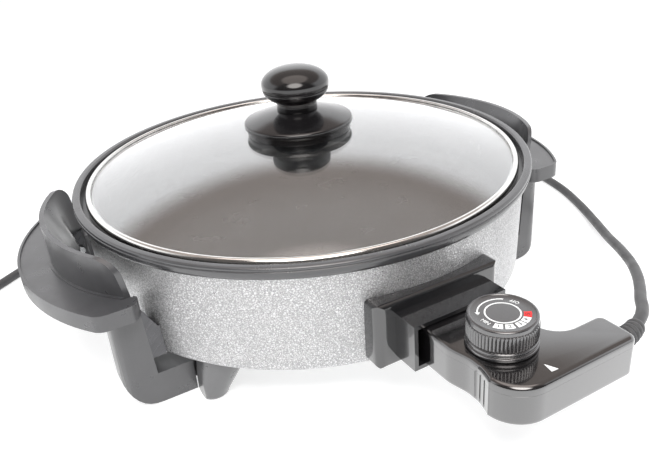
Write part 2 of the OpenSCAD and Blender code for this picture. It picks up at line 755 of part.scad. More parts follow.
// Outline of the controller's case from above, drawn in by i. It starts at the front left
// corner, from where all of it can be seen.
function case_outline(i) = concat(
    arc(24 - neck_half, case_front_y + 24, 24 - i, 180, 270, 10),
    arc(64, case_front_y + 6, 6 - i, 270, 360, 4),
    arc(64, -270, 6 - i, 0, 90, 4),
    arc(neck_half + 17, -247, 17 + i, 270, 180, 8),
    [[neck_half - i, neck_y - i], [i - neck_half, neck_y - i]]);

// Lower shell of the controller, with three finger grooves on its side
module controller_tub() color("black") placed() {
    difference() {
        plate(case_z, case_split_z, case_outline(0));
        difference() {
            plate(case_z + 2, case_split_z + 1, case_outline(case_wall));
            for (p = case_screws) translate([p.x, p.y, 0]) cylinder(r = 4.2, h = 100);
        }
        for (p = case_screws) translate([p.x, p.y, case_z - 1]) {
            cylinder(r = 3.3, h = 4);
            cylinder(r = 1.7, h = 40);
        }
        for (x = [-1, 1] * pin_x) rod_y(x, pin_z, -201, -190, 3.4);
        rod_y(0, pin_z, -201, -190, 3.1);
        translate([relief_at.x - 5, relief_at.y, relief_at.z]) rotate([0, 90, 0])
            cylinder(r = 6.2, h = 10);
        for (y = [-258, -263, -268]) translate([-neck_half, y, case_z - 1])
            cylinder(r = 0.9, h = 30, $fn = 24);
    }
}

// Upper shell of the controller, with a round bevel along its edge
module controller_cover() color("black") placed() {
    difference() {
        loft([for (s = [[0, case_split_z], [0, case_top_z - case_bevel], [0.4, case_top_z - 1.6],
            [1.3, case_top_z - 0.5], [case_bevel, case_top_z]])
            [for (p = case_outline(s[0])) [p.x, p.y, s[1]]]]);
        difference() {
            plate(case_split_z - 1, case_top_z - case_wall, case_outline(case_wall));
            for (p = case_screws) translate([p.x, p.y, 0]) cylinder(r = 4, h = 100);
        }
        for (p = case_screws) translate([p.x, p.y, case_split_z - 1]) cylinder(r = 1.55, h = 4.2);
        translate([dial_at.x, dial_at.y, case_split_z]) cylinder(r = spindle_r + 0.4, h = 20);
    }
}

// Switch block with a bush for the spindle and two terminals
module thermostat() color("sienna") placed() translate([dial_at.x, dial_at.y, 0]) {
    difference() {
        union() {
            translate([-switch_half.x, -switch_half.y, case_z + 2])
                cube([2 * switch_half.x, 2 * switch_half.y, switch_top_z - case_z - 2]);
            translate([0, 0, switch_top_z - 1]) cylinder(r = 5, h = 6);
            for (x = [-14, 8]) translate([x, -switch_half.y - 4, 60]) cube([6, 5, 0.8]);
        }
        translate([0, 0, 60]) cylinder(r = spindle_r + 0.05, h = 20);
    }
}

module probe_rod() color("silver") placed() {
    rod_y(0, pin_z, -130, -dial_y + switch_half.y, 2.9);
}

// Tubes that grip the pins, each with a tail to the switch
module contact_sockets() color("goldenrod") placed() {
    for (x = [-1, 1] * pin_x) {
        difference() {
            rod_y(x, pin_z, neck_y - case_wall, -226, 3.9);
            rod_y(x, pin_z, neck_y - 1, -218, 2.85);
        }
        rod_y(x, pin_z, -225, -dial_y + switch_half.y, 2);
    }
}

module controller_screws() color("lightsteelblue") placed()
    for (p = case_screws) translate([p.x, p.y, 0]) {
        translate([0, 0, case_z + 0.6]) cylinder(r = 3, h = 2.4);
        translate([0, 0, case_z + 2.8]) cylinder(r = 1.5, h = 20.8);
    }

// Ribbed sleeve that bends with the cord, on a root held in the case wall
module strain_relief() color("black") placed() translate(relief_at) {
    rotate([0, 90, 0]) {
        translate([0, 0, -2.6]) cylinder(r = 6, h = 3);
        translate([0, 0, -4.6]) cylinder(r = 7, h = 2);
        cylinder(r = 8, h = relief_root);
    }
    translate([relief_root, relief_bend, 0]) {
        rotate(-91) rotate_extrude(angle = relief_a + 1) translate([relief_bend, 0])
            circle(r = 5.1, $fn = 32);
        for (i = [1:relief_ribs]) rotate(-90 + relief_a * i / relief_ribs)
            translate([relief_bend, 0, 0]) rotate([90, 0, 0])
                cylinder(r = 8 - 0.35 * i, h = 2.1);
    }
}

// Dial with a flange, a groove and a ridged grip, hollow below
module dial() color("dimgray") placed() translate([dial_at.x, dial_at.y, 0]) {
    low = case_top_z + 0.4;
    difference() {
        union() {
            rotate_extrude() polygon([[0, low], [dial_r + 0.3, low], [dial_r + 0.3, low + 2.6],
                [dial_r - 0.9, low + 3], [dial_r - 0.9, low + 3.8], [dial_r, low + 4.2],
                [dial_r, low + 5.4], [dial_r - 1.3, low + 6.2], [dial_r - 1.3, dial_top_z - 5],
                [dial_r - 0.9, dial_top_z - 3.4], [dial_r - 2.6, dial_top_z],
                [dial_r - 4.4, dial_top_z], [dial_r - 4.6, dial_top_z - 0.5],
                [0, dial_top_z - 0.5]]);
            plate(low + 6, dial_top_z - 5.2, [for (i = [0:2 * dial_ridges - 1])
                (dial_r - (i % 2 == 0 ? 0.1 : 0.9)) * [cos(180 * i / dial_ridges),
                    sin(180 * i / dial_ridges)]]);
        }
        difference() {
            translate([0, 0, low - 1]) cylinder(r = dial_r - 3.3, h = 10);
            cylinder(r = 6.5, h = 100);
        }
        cylinder(r = spindle_r + 0.05, h = 92);
    }
}

module dial_spindle() color("silver") placed() translate([dial_at.x, dial_at.y, 60.2])
    cylinder(r = spindle_r, h = 92 - 60.2);

module cord() color("dimgray") placed()
    tube(cord_path, cord_d / 2, cord_sides, relief_dir, coil_dir);

module cord_coil() color("dimgray") placed()
    tube(coil_path, cord_d / 2, coil_sides, coil_dir, coil_dir);

module cord_tail() color("dimgray") placed()
    tube(tail_path, cord_d / 2, cord_sides, coil_dir, coil_dir);

// Strap round both layers of the coil, on the side away from its ends
module cord_tie() color("gray") placed() {
    inner = [cord_d + 2, coil_pitch + cord_d + 0.4];
    middle_z = coil_low_z + coil_pitch / 2;
    stack_r = coil_radius(0.5);
    translate([coil_at.x, coil_at.y, middle_z]) rotate(coil_heading - 90)
        translate([stack_r, 0, 0]) rotate([90, 0, 0]) difference() {
            linear_extrude(12, center = true) polygon(round_rect(inner.x + 2, inner.y + 2, 4.6, 5));
            linear_extrude(14, center = true) polygon(round_rect(inner.x, inner.y, 3.6, 5));
        }
}

// Where the plug lies, with +Z along its axis towards its face
module at_plug() {
    translate(plug_at) rotate(coil_heading) rotate([0, 90, 0]) children();
}

// Round mains plug with side notches and an earth hole
module plug_body() color("black") placed() at_plug() difference() {
    rotate_extrude() polygon([[0, 0], [5.6, 0], [7.2, plug_relief_l], [11, plug_relief_l + 2],
        [13, plug_relief_l + 8], [plug_r, plug_relief_l + 16], [plug_r, plug_l - 1],
        [plug_r - 1, plug_l], [0, plug_l]]);
    for (a = [0, 180]) rotate(a) translate([plug_r - 2.2, -2.8, plug_relief_l + 14])
        cube([5, 5.6, 40]);
    translate([10, 0, plug_l - 14]) cylinder(r = 2.6, h = 20);
}

module plug_pins() color("silver") placed() at_plug()
    for (y = [-1, 1] * plug_pin_y) translate([0, y, plug_l]) {
        cylinder(r = 2.4, h = plug_pin_l - 2);
        translate([0, 0, plug_pin_l - 2]) cylinder(r1 = 2.4, r2 = 1.2, h = 2);
    }

pan();
rim_ring();
base_cover();
heating_element();
contact_pins();
pin_insulators();
sensor_well();
connector_base();
connector_shroud();
connector_screws();
handle_left();
handle_right();
bracket_left();
bracket_right();
bracket_rivets();
handle_screws();
foot_front_left();
foot_front_right();
foot_rear_left();
foot_rear_right();
foot_screws();
lid_glass();
lid_band();
glass_grommet();
knob_skirt();
knob();
knob_insert();
lid_collar();
lid_screw();
controller_tub();
controller_cover();
thermostat();
probe_rod();
contact_sockets();
controller_screws();
strain_relief();
dial();
dial_spindle();
cord();
cord_coil();
cord_tail();
cord_tie();
plug_body();
plug_pins();
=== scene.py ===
# %% [markdown]
# # An electric skillet with a lift-off glass lid
# The object is a round pan on four feet, with two moulded handles, a domed glass lid with a
# knob, and a plug-in thermostat on a mains cord. A CAD model holds its sizes, its joints and
# everything that carries load. This script dresses that model: it keeps each part where it
# is, gives it soft edges and a finish, and remakes the parts whose curves have to be smooth.

# %% The CAD model
import math

import bmesh
import bpy
import numpy as np
from mathutils import Euler, Matrix, Vector


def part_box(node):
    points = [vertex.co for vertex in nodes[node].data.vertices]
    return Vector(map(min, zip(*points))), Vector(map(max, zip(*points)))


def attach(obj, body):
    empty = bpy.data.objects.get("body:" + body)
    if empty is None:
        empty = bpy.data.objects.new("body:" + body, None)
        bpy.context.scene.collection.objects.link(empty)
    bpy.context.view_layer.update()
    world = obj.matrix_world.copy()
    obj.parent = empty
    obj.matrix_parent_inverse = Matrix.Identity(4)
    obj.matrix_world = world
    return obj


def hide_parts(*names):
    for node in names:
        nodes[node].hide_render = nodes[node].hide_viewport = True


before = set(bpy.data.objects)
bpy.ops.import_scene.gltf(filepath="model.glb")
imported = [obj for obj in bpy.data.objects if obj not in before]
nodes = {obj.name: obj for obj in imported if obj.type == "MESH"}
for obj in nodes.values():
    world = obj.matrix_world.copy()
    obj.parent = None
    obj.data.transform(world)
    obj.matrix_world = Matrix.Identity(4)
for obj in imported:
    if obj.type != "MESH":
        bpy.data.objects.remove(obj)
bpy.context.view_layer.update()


print("CAD parts:", len(nodes))

# %% [markdown]
# ## Units
# The shapes below are worked out in millimetres round the pan's own axis, because that is
# how the skillet would be drawn. Blender wants metres, and the whole object stands with its
# own middle on the origin, so the pan's axis is a little way along Y. That distance is
# read from the CAD pan, and one function carries points over.

# %% From millimetres round the pan to metres in the scene
MM = 0.001
pan_low, pan_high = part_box("pan")
PAN_AXIS = np.array([0.0, (pan_low.y + pan_high.y) / 2, 0.0])


def place(points):
    """Points times 0.001, moved along with the pan's axis."""
    return np.asarray(points, float) * MM + PAN_AXIS


def add_object(name, data):
    """New object for a mesh, curve, lamp or camera, linked to the scene."""
    made = bpy.data.objects.new(name, data)
    bpy.context.collection.objects.link(made)
    return made


print("pan axis in metres:", PAN_AXIS.round(4))

# %% [markdown]
# ## The camera
# The photograph looks down on the skillet from beyond its front left corner, at more than
# knob height and from well under a metre away, so near things look clearly larger. The
# camera is also rolled a few degrees. A look direction from yaw and pitch, and then a turn
# round that direction, gives the camera's three axes.

# %% Camera
CAMERA_AT = (-0.2552, -0.4655, 0.3461)
YAW, PITCH, ROLL = (math.radians(a) for a in (28.35, -27.09, -4.52))
LENS_MM = 38.93
NEAREST = 0.01


def camera_axes(yaw, pitch, roll):
    """Right, up and backward directions: yaw turns from +Y towards +X, pitch lifts, roll tilts."""
    forward = Vector((math.sin(yaw) * math.cos(pitch), math.cos(yaw) * math.cos(pitch),
                      math.sin(pitch)))
    level = Vector((math.cos(yaw), -math.sin(yaw), 0.0))
    upright = level.cross(forward)
    right = math.cos(roll) * level + math.sin(roll) * upright
    up = math.cos(roll) * upright - math.sin(roll) * level
    return right, up, -forward


def make_camera():
    """Camera at CAMERA_AT, with its three axes as the columns of its rotation."""
    data = bpy.data.cameras.new("camera")
    data.lens = LENS_MM
    data.clip_start = NEAREST
    camera = add_object("camera", data)
    turn = Matrix(camera_axes(YAW, PITCH, ROLL)).transposed()
    camera.matrix_world = Matrix.Translation(CAMERA_AT) @ turn.to_4x4()
    bpy.context.scene.camera = camera
    return camera


print("camera at", make_camera().location)

# %% [markdown]
# ## Surfaces from grids
# Most parts here are a grid of points bent into shape: rows run along an outline and
# columns run round an axis or a path. Working the whole grid out as one array is quick, and
# one rule then makes all of its faces. Where a grid closes on itself or runs into a pole,
# its doubled points are merged afterwards.

# %% Outlines
SHORTEST = 1e-9
SAME_POINT = 1e-7
LONGEST_CUT = 0.48


def arc(cx, cy, radius, start, end, steps):
    """Points at equal angles, from start to end degrees, round the centre (cx, cy)."""
    a = np.radians(np.linspace(start, end, steps + 1))
    return np.stack([cx + radius * np.cos(a), cy + radius * np.sin(a)], -1)


def rounded(rows, steps=4, closed=True):
    """Outline with soft corners, from rows of x, y and cut. Corner B between A and C becomes
    the parabola from B + t(A - B) to B + t(C - B), with B as its control point, where t
    reaches the cut along each edge but never past 0.48 of it. A cut of 0 stays sharp."""
    rows = np.array(rows, float)
    b, cuts = rows[:, :2], rows[:, 2]
    if not closed:
        cuts[[0, -1]] = 0

    def start_towards(other):
        """Where the curve leaves the edge from b to the corner given."""
        edge = other - b
        size = np.maximum(np.linalg.norm(edge, axis=1), SHORTEST)
        return (b + edge * np.minimum(cuts / size, LONGEST_CUT)[:, None])[:, None]

    u = np.linspace(0, 1, steps + 1)[None, :, None]
    p, q = start_towards(np.roll(b, 1, 0)), start_towards(np.roll(b, -1, 0))
    curve = ((1 - u) ** 2 * p + 2 * u * (1 - u) * b[:, None] + u**2 * q).reshape(-1, 2)
    apart = np.linalg.norm(np.diff(curve, axis=0), axis=1) > SAME_POINT
    return curve[np.concatenate([[True], apart])]


# %% Grids
def grid_faces(rows, columns, close_rows=False, close_columns=False):
    """Quads (i, j), (i+1, j), (i+1, j+1), (i, j+1) of a grid, with the last row or column
    joined to the first where it closes."""
    i = np.arange(rows if close_rows else rows - 1)
    j = np.arange(columns if close_columns else columns - 1)
    i, j = np.meshgrid(i, j, indexing="ij")
    i2, j2 = (i + 1) % rows, (j + 1) % columns
    quads = [i * columns + j, i2 * columns + j, i2 * columns + j2, i * columns + j2]
    return np.stack(quads, -1).reshape(-1, 4)


def revolve(outline, steps=288, closed=True):
    """Point (r, z) of the outline at angle a becomes (r cos a, r sin a, z). A closed outline
    is a ring; an open one starts and ends on the axis."""
    a = np.linspace(0, 2 * np.pi, steps, endpoint=False)
    r, z = outline[:, :1], outline[:, 1:]
    points = np.stack([r * np.cos(a), r * np.sin(a), z + 0 * a], -1).reshape(-1, 3)
    return points, grid_faces(len(outline), steps, close_rows=closed, close_columns=True)


# %% Pieces
MERGE = 2e-6
THINNEST = 1e-7


def seat(piece, body, slot, finish, *replaced):
    """The piece rides on its CAD body, wears a finish and stands for the CAD nodes named."""
    piece.data.materials.append(finish)
    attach(piece, body)
    if replaced:
        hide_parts(*replaced)
    print(f"{piece.name}: {len(piece.data.polygons)} faces, for {', '.join(replaced) or 'detail'}")
    return piece


def make_piece(name, surface, body, slot, finish, *replaced, smooth_below=35.0):
    """Seated piece from points in millimetres round the pan and rows of point numbers. Doubled
    points are merged, the faces turn outwards, and edges flatter than smooth_below degrees
    are shaded as one smooth surface."""
    points, faces = surface
    mesh = bpy.data.meshes.new(name)
    mesh.from_pydata(place(points).tolist(), [], [list(map(int, face)) for face in faces])
    work = bmesh.new()
    work.from_mesh(mesh)
    bmesh.ops.remove_doubles(work, verts=work.verts, dist=MERGE)
    bmesh.ops.dissolve_degenerate(work, edges=work.edges, dist=THINNEST)
    bmesh.ops.recalc_face_normals(work, faces=work.faces)
    work.to_mesh(mesh)
    work.free()
    mesh.shade_smooth()
    mesh.set_sharp_from_angle(angle=math.radians(smooth_below))
    return seat(add_object(name, mesh), body, slot, finish, *replaced)


# %% [markdown]
# ## Finishes
# A finish is a node tree round one Principled shader. What several finishes need is built
# once as a node group: slow changes of gloss, the fine grain of a moulded surface, a thin
# coat of dust on what faces up, and the rings that a lathe or a roller leaves. Each group
# puts out values, colours or normals, and each material uses it with its own numbers. All
# patterns read Object coordinates, which are metres here, so a scale of 1000 means details
# of about a millimetre.

# %% Small helpers for node trees
FLOAT, COLOR, VECTOR = "NodeSocketFloat", "NodeSocketColor", "NodeSocketVector"
AT = ("Vector", VECTOR, (0, 0, 0))


def feed(tree, sockets, values):
    """Each named socket takes its value, or a link where the value is another socket."""
    for key, value in values.items():
        if isinstance(value, bpy.types.NodeSocket):
            tree.links.new(value, sockets[key])
        else:
            sockets[key].default_value = value


def add_node(tree, kind, inputs=None, **settings):
    """Outputs of a new node, with settings as attributes and its inputs fed."""
    made = tree.nodes.new("ShaderNode" + kind)
    for key, value in settings.items():
        setattr(made, key, value)
    feed(tree, made.inputs, inputs or {})
    return made.outputs


def mixed(tree, share, first, second, **settings):
    """Colour that goes from the first to the second as share goes from 0 to 1."""
    return add_node(tree, "Mix", {"Factor": share, 6: first, 7: second}, data_type="RGBA",
                    **settings)[2]


def maths(tree, operation, first, second, **settings):
    """Result of one operation on two values."""
    return add_node(tree, "Math", {0: first, 1: second}, operation=operation,
                    **settings)["Value"]


def spread(tree, value, low, high, to_low=0.0, to_high=1.0, **settings):
    """Value mapped so that low becomes to_low and high becomes to_high, and no further."""
    return add_node(tree, "MapRange", {
        "Value": value, "From Min": low, "From Max": high, "To Min": to_low,
        "To Max": to_high}, **settings)["Result"]


def noise(tree, at, scale, detail, roughness=0.5):
    """Outputs of a noise, read at the points of at times scale."""
    return add_node(tree, "TexNoise", {
        "Vector": at, "Scale": scale, "Detail": detail, "Roughness": roughness})


def bumped(tree, height, depth):
    """Normal of bumps that are depth metres high where height is 1."""
    return add_node(tree, "Bump", {
        "Strength": 1.0, "Distance": depth, "Height": height})["Normal"]


def new_group(name, inputs, outputs):
    """Empty node group. Inputs are (name, type, default) and outputs (name, type)."""
    tree = bpy.data.node_groups.new(name, "ShaderNodeTree")
    for label, kind, default in inputs:
        socket = tree.interface.new_socket(label, in_out="INPUT", socket_type=kind)
        socket.default_value = default
    for label, kind in outputs:
        tree.interface.new_socket(label, in_out="OUTPUT", socket_type=kind)
    return (tree, tree.nodes.new("NodeGroupInput").outputs,
            tree.nodes.new("NodeGroupOutput").inputs)


def use_group(tree, group, inputs):
    """Outputs of a node group that is placed in a tree, with its inputs fed."""
    holder = tree.nodes.new("ShaderNodeGroup")
    holder.node_tree = group
    feed(tree, holder.inputs, inputs)
    return holder.outputs


# %% Group: a value that drifts slowly over a surface
def make_drift():
    """Noise of a given scale, spread between Low and High."""
    tree, given, out = new_group(
        "drift", [AT, ("Scale", FLOAT, 20.0), ("Low", FLOAT, 0.0), ("High", FLOAT, 1.0)],
        [("Value", FLOAT)])
    cloud = noise(tree, given["Vector"], given["Scale"], 4.0, 0.55)["Fac"]
    feed(tree, out, {"Value": spread(tree, cloud, 0.32, 0.68, given["Low"], given["High"])})
    return tree


# %% Group: the fine grain of a moulded surface
def make_grain():
    """Noise used as a height. Depth is the height of the bumps in metres."""
    tree, given, out = new_group(
        "moulded_grain", [AT, ("Scale", FLOAT, 1500.0), ("Depth", FLOAT, 0.00002)],
        [("Normal", VECTOR)])
    height = noise(tree, given["Vector"], given["Scale"], 3.0, 0.6)["Fac"]
    feed(tree, out, {"Normal": bumped(tree, height, given["Depth"])})
    return tree


# %% Group: dust on what faces up
def make_dust():
    """Mask = how far the surface faces up, times patchy noise, times Amount. The colour is
    mixed towards Dust by the mask."""
    tree, given, out = new_group(
        "dust", [AT, ("Color", COLOR, (0, 0, 0, 1)), ("Dust", COLOR, (0.5, 0.5, 0.5, 1)),
                 ("Amount", FLOAT, 0.1)], [("Color", COLOR), ("Mask", FLOAT)])
    normal = add_node(tree, "NewGeometry")["Normal"]
    up = add_node(tree, "SeparateXYZ", {"Vector": normal})["Z"]
    patches = spread(tree, noise(tree, given["Vector"], 260.0, 6.0, 0.7)["Fac"], 0.4, 0.75)
    both = maths(tree, "MULTIPLY", spread(tree, up, 0.1, 0.95), patches)
    mask = maths(tree, "MULTIPLY", both, given["Amount"])
    feed(tree, out, {"Color": mixed(tree, mask, given["Color"], given["Dust"]), "Mask": mask})
    return tree


# %% Group: the rings that spinning or rolling leaves round an axis
def make_turned():
    """With d the distance from the Z axis, noise is read at (x/d, y/d, Rings(d + z)), so it
    changes quickly outwards and slowly round the axis, with no seam."""
    tree, given, out = new_group(
        "turned_metal", [AT, ("Rings", FLOAT, 1200.0), ("Depth", FLOAT, 0.00001),
                         ("Low", FLOAT, 0.15), ("High", FLOAT, 0.35)],
        [("Normal", VECTOR), ("Value", FLOAT)])
    axes = add_node(tree, "SeparateXYZ", {"Vector": given["Vector"]})
    flat = add_node(tree, "CombineXYZ", {"X": axes["X"], "Y": axes["Y"]})["Vector"]
    away = add_node(tree, "VectorMath", {0: flat}, operation="LENGTH")["Value"]
    unit = add_node(tree, "VectorMath", {0: flat}, operation="NORMALIZE")["Vector"]
    unit = add_node(tree, "SeparateXYZ", {"Vector": unit})
    rings = maths(tree, "MULTIPLY", maths(tree, "ADD", away, axes["Z"]), given["Rings"])
    at = add_node(tree, "CombineXYZ", {"X": unit["X"], "Y": unit["Y"], "Z": rings})["Vector"]
    height = noise(tree, at, 1.0, 3.0, 0.6)["Fac"]
    feed(tree, out, {"Normal": bumped(tree, height, given["Depth"]),
                     "Value": spread(tree, height, 0.3, 0.7, given["Low"], given["High"])})
    return tree


DRIFT, GRAIN, DUST, TURNED = make_drift(), make_grain(), make_dust(), make_turned()
print("node groups:", [g.name for g in (DRIFT, GRAIN, DUST, TURNED)])


# %% Start of a finish
def start_finish(name, **shader_values):
    """Material with one Principled shader, whose sockets take the values given. Returns the
    material, its tree, the shader's inputs and Object coordinates centred on the pan's
    axis."""
    finish = bpy.data.materials.new(name)
    finish.use_nodes = True
    tree = finish.node_tree
    shader = tree.nodes["Principled BSDF"].inputs
    feed(tree, shader, {key.replace("_", " "): value for key, value in shader_values.items()})
    centred = add_node(tree, "Mapping", {
        "Vector": add_node(tree, "TexCoord")["Object"], "Location": tuple(-PAN_AXIS)})
    return finish, tree, shader, centred["Vector"]


def drifting(tree, at, scale, low, high):
    """Value that drifts between low and high over details of about 1/scale metres."""
    return use_group(tree, DRIFT, {"Vector": at, "Scale": scale, "Low": low,
                                   "High": high})["Value"]


def grained(tree, at, scale, depth):
    """Normal of a fine grain, depth metres high."""
    return use_group(tree, GRAIN, {"Vector": at, "Scale": scale, "Depth": depth})["Normal"]


# %% [markdown]
# ### Moulded plastic
# The handles, feet, socket and cord are black plastics that differ in colour, gloss and
# grain. Moulded plastic is never evenly shiny: it has a fine grain from the tool, and
# handling leaves slow changes of gloss. Dust settles on what faces up. One function makes
# all of these, and the ceramic and the print too. Glossy parts also get a clear coat.

# %% Finish: moulded plastic
DUST_COLOUR = (0.42, 0.41, 0.40, 1)
TONE_DRIFT, GLOSS_SCALE = (35.0, 0.88, 1.12), 60.0


def moulded(name, colour, gloss=(0.42, 0.52), grain=1400.0, depth=0.00002, dust=0.08,
            coat=0.0, coat_gloss=0.04, level=0.5):
    """Plastic whose colour drifts a little, and whose roughness drifts between the two
    values of gloss and grows under dust."""
    finish, tree, shader, at = start_finish(name, Coat_Weight=coat, Coat_Roughness=coat_gloss,
                                            Coat_IOR=1.8, Specular_IOR_Level=level)
    tinted = mixed(tree, 1.0, (*colour, 1), drifting(tree, at, *TONE_DRIFT),
                   blend_type="MULTIPLY")
    dusty = use_group(tree, DUST, {"Vector": at, "Color": tinted, "Dust": DUST_COLOUR,
                                   "Amount": dust})
    feed(tree, shader, {
        "Base Color": dusty["Color"], "Normal": grained(tree, at, grain, depth),
        "Roughness": maths(tree, "ADD", drifting(tree, at, GLOSS_SCALE, *gloss), dusty["Mask"],
                           use_clamp=True)})
    return finish


# %% [markdown]
# ### Bare metal
# Steel and aluminium parts differ in colour and in how they were made. Turned and rolled
# parts carry rings round the pan's axis, and sheet has slow cloudy changes of colour.

# %% Finish: bare metal
CLOUD_DRIFT = (45.0, 0.86, 1.06)


def bare_metal(name, colour, gloss=(0.18, 0.32), rings=1500.0, depth=0.000006):
    """Metal with fine rings round the pan's axis, whose roughness follows the rings."""
    finish, tree, shader, at = start_finish(name, Metallic=1.0)
    turned = use_group(tree, TURNED, {"Vector": at, "Rings": rings, "Depth": depth,
                                      "Low": gloss[0], "High": gloss[1]})
    tinted = mixed(tree, 1.0, (*colour, 1), drifting(tree, at, *CLOUD_DRIFT),
                   blend_type="MULTIPLY")
    feed(tree, shader, {"Base Color": tinted, "Roughness": turned["Value"],
                        "Normal": turned["Normal"]})
    return finish


# %% [markdown]
# ## The cord
# The mains cord leaves the thermostat's ribbed sleeve, comes down to the table in a wide
# bow, runs round the back of the pan and ends in a coil with its plug beyond the left side.
# Its length never changes, so it is a tube carried along one smooth path. The path's free
# stretches pass through listed points, and a formula gives the turns of the coil.

# %% Measures of the cord
def heading(angle):
    """Level direction of length 1 at an angle from +X."""
    return np.array([math.cos(angle), math.sin(angle), 0])


CORD_D = 8.5
RELIEF_AT = np.array([70.0, -279.0, 65.0])
RELIEF_ROOT = 2.0
RELIEF_BEND = 50.0
RELIEF_TURN = math.radians(24)
RELIEF_END = RELIEF_AT + [RELIEF_ROOT + RELIEF_BEND * math.sin(RELIEF_TURN),
                          RELIEF_BEND * (1 - math.cos(RELIEF_TURN)), 0]
COIL_AT = np.array([-336.0, 178.0])
COIL_HEADING = math.radians(-145)
COIL_WAY = heading(COIL_HEADING)
COIL_R = 46.5
COIL_PITCH = CORD_D + 0.8
COIL_LOW_Z = 5.5
COIL_TURNS = 2
PLUG_R = 18.5
TAIL_L = 46.0
TAIL_RISE = (23.0, 16.5)
STRAIGHT = 10.0
PATH_STEPS, COIL_STEPS = 8, 48
HAND_POINTS = [
    (108, -267, 64), (119, -259, 61), (133, -247, 56), (152, -232, 50), (175, -212, 43),
    (200, -187, 34), (226, -156, 24), (252, -120, 14), (278, -82, 7), (300, -42, 4.3),
    (316, 0, 4.3), (324, 45, 4.3), (320, 92, 4.3), (303, 140, 4.3), (270, 182, 4.3),
    (226, 214, 4.3), (170, 234, 4.3), (105, 243, 4.3), (35, 245, 4.3), (-35, 242, 4.3),
    (-105, 234, 4.3), (-170, 217, 4.3), (-220, 193, 4.3), (-262, 165, 4.3)]


# %% The cord's route
def smooth_path(route):
    """Curve through every point of the route. Between points p1 and p2 it is the cubic that
    meets both with the slopes (p2 - p0)/2 and (p3 - p1)/2."""
    q = np.asarray(route, float)
    q = np.vstack([2 * q[0] - q[1], q, 2 * q[-1] - q[-2]])
    p0, p1, p2, p3 = (part[:, None] for part in (q[:-3], q[1:-2], q[2:-1], q[3:]))
    t = (np.arange(PATH_STEPS) / PATH_STEPS)[None, :, None]
    curve = 0.5 * (2 * p1 + (p2 - p0) * t + (2 * p0 - 5 * p1 + 4 * p2 - p3) * t**2
                   + (3 * p1 - p0 - 3 * p2 + p3) * t**3)
    return np.vstack([curve.reshape(-1, 3), q[-2:-1]])


def coil_path():
    """Clockwise turns whose radius shrinks on the table, holds through half a turn of
    climbing, and grows again on the upper layer."""
    t = np.arange(COIL_TURNS * COIL_STEPS + 1) / COIL_STEPS
    side = (COIL_TURNS - 0.5) / 2
    out_r, in_r = COIL_R + COIL_PITCH / 2, COIL_R - COIL_PITCH / 2
    radius = np.interp(t, [0, side, side + 0.5, COIL_TURNS], [out_r, in_r, in_r, out_r])
    u = np.clip((t - side) / 0.5, 0, 1)
    z = COIL_LOW_Z + COIL_PITCH * u**2 * (3 - 2 * u)
    a = COIL_HEADING + np.pi / 2 - 2 * np.pi * t
    return np.stack([COIL_AT[0] + radius * np.cos(a), COIL_AT[1] + radius * np.sin(a), z], -1)


coil = coil_path()


def past_coil(distance):
    """Point at a distance past the coil's last bend, straight on."""
    return coil[-1] + COIL_WAY * (CORD_D + distance)


plug_at, tail_rise = past_coil(TAIL_L), past_coil(TAIL_RISE[0])
plug_at[2], tail_rise[2] = PLUG_R, TAIL_RISE[1]
first = smooth_path([RELIEF_END, RELIEF_END + heading(RELIEF_TURN) * CORD_D, *HAND_POINTS,
                     coil[0] - COIL_WAY * CORD_D])
tail = smooth_path([past_coil(0), past_coil(STRAIGHT), tail_rise,
                    plug_at - COIL_WAY * STRAIGHT, plug_at])
cord_line = np.vstack([first, coil, tail])


# %% A tube along a path
def tube(path, radius, sides=16):
    """At each point of the path lies a ring of the given radius, square to the path: its
    sideways direction is level and its other direction is square to that and the path.
    Rings of no radius close both ends."""
    path = np.vstack([path[:1], path, path[-1:]])
    radius = np.concatenate([[0.0], np.broadcast_to(radius, len(path) - 2), [0.0]])
    along = np.gradient(path, axis=0)
    along[0], along[-1] = along[1], along[-2]
    along /= np.linalg.norm(along, axis=1, keepdims=True)
    side = np.cross([0.0, 0.0, 1.0], along)
    side /= np.linalg.norm(side, axis=1, keepdims=True)
    up = np.cross(along, side)
    a = np.linspace(0, 2 * np.pi, sides, endpoint=False)[None, :, None]
    ring = np.cos(a) * side[:, None] + np.sin(a) * up[:, None]
    points = path[:, None] + radius[:, None, None] * ring
    return points.reshape(-1, 3), grid_faces(len(path), sides, close_columns=True)


CORD_FINISH = moulded("cord_sheath", (0.055, 0.055, 0.057), gloss=(0.4, 0.55), grain=900.0,
                      depth=0.00003, dust=0.06)
cord = make_piece("cord_run", tube(cord_line, CORD_D / 2), "controller", "cord_black",
                  CORD_FINISH, "cord", "cord_coil", "cord_tail", smooth_below=60)

# %% [markdown]
# ## CAD parts with soft edges
# Brackets, screws, the handles and the socket have the right shape already, but a CAD edge
# is perfectly sharp and real edges are not: the thin highlight that runs along a real edge
# is what makes it look made. Such a part is copied, its loose triangles are merged into
# whole faces, and a Bevel modifier rounds its edges. The copy stands for the CAD part.

# %% Copies of CAD parts with rounded edges
SHARP, FLAT = math.radians(38.0), math.radians(0.6)


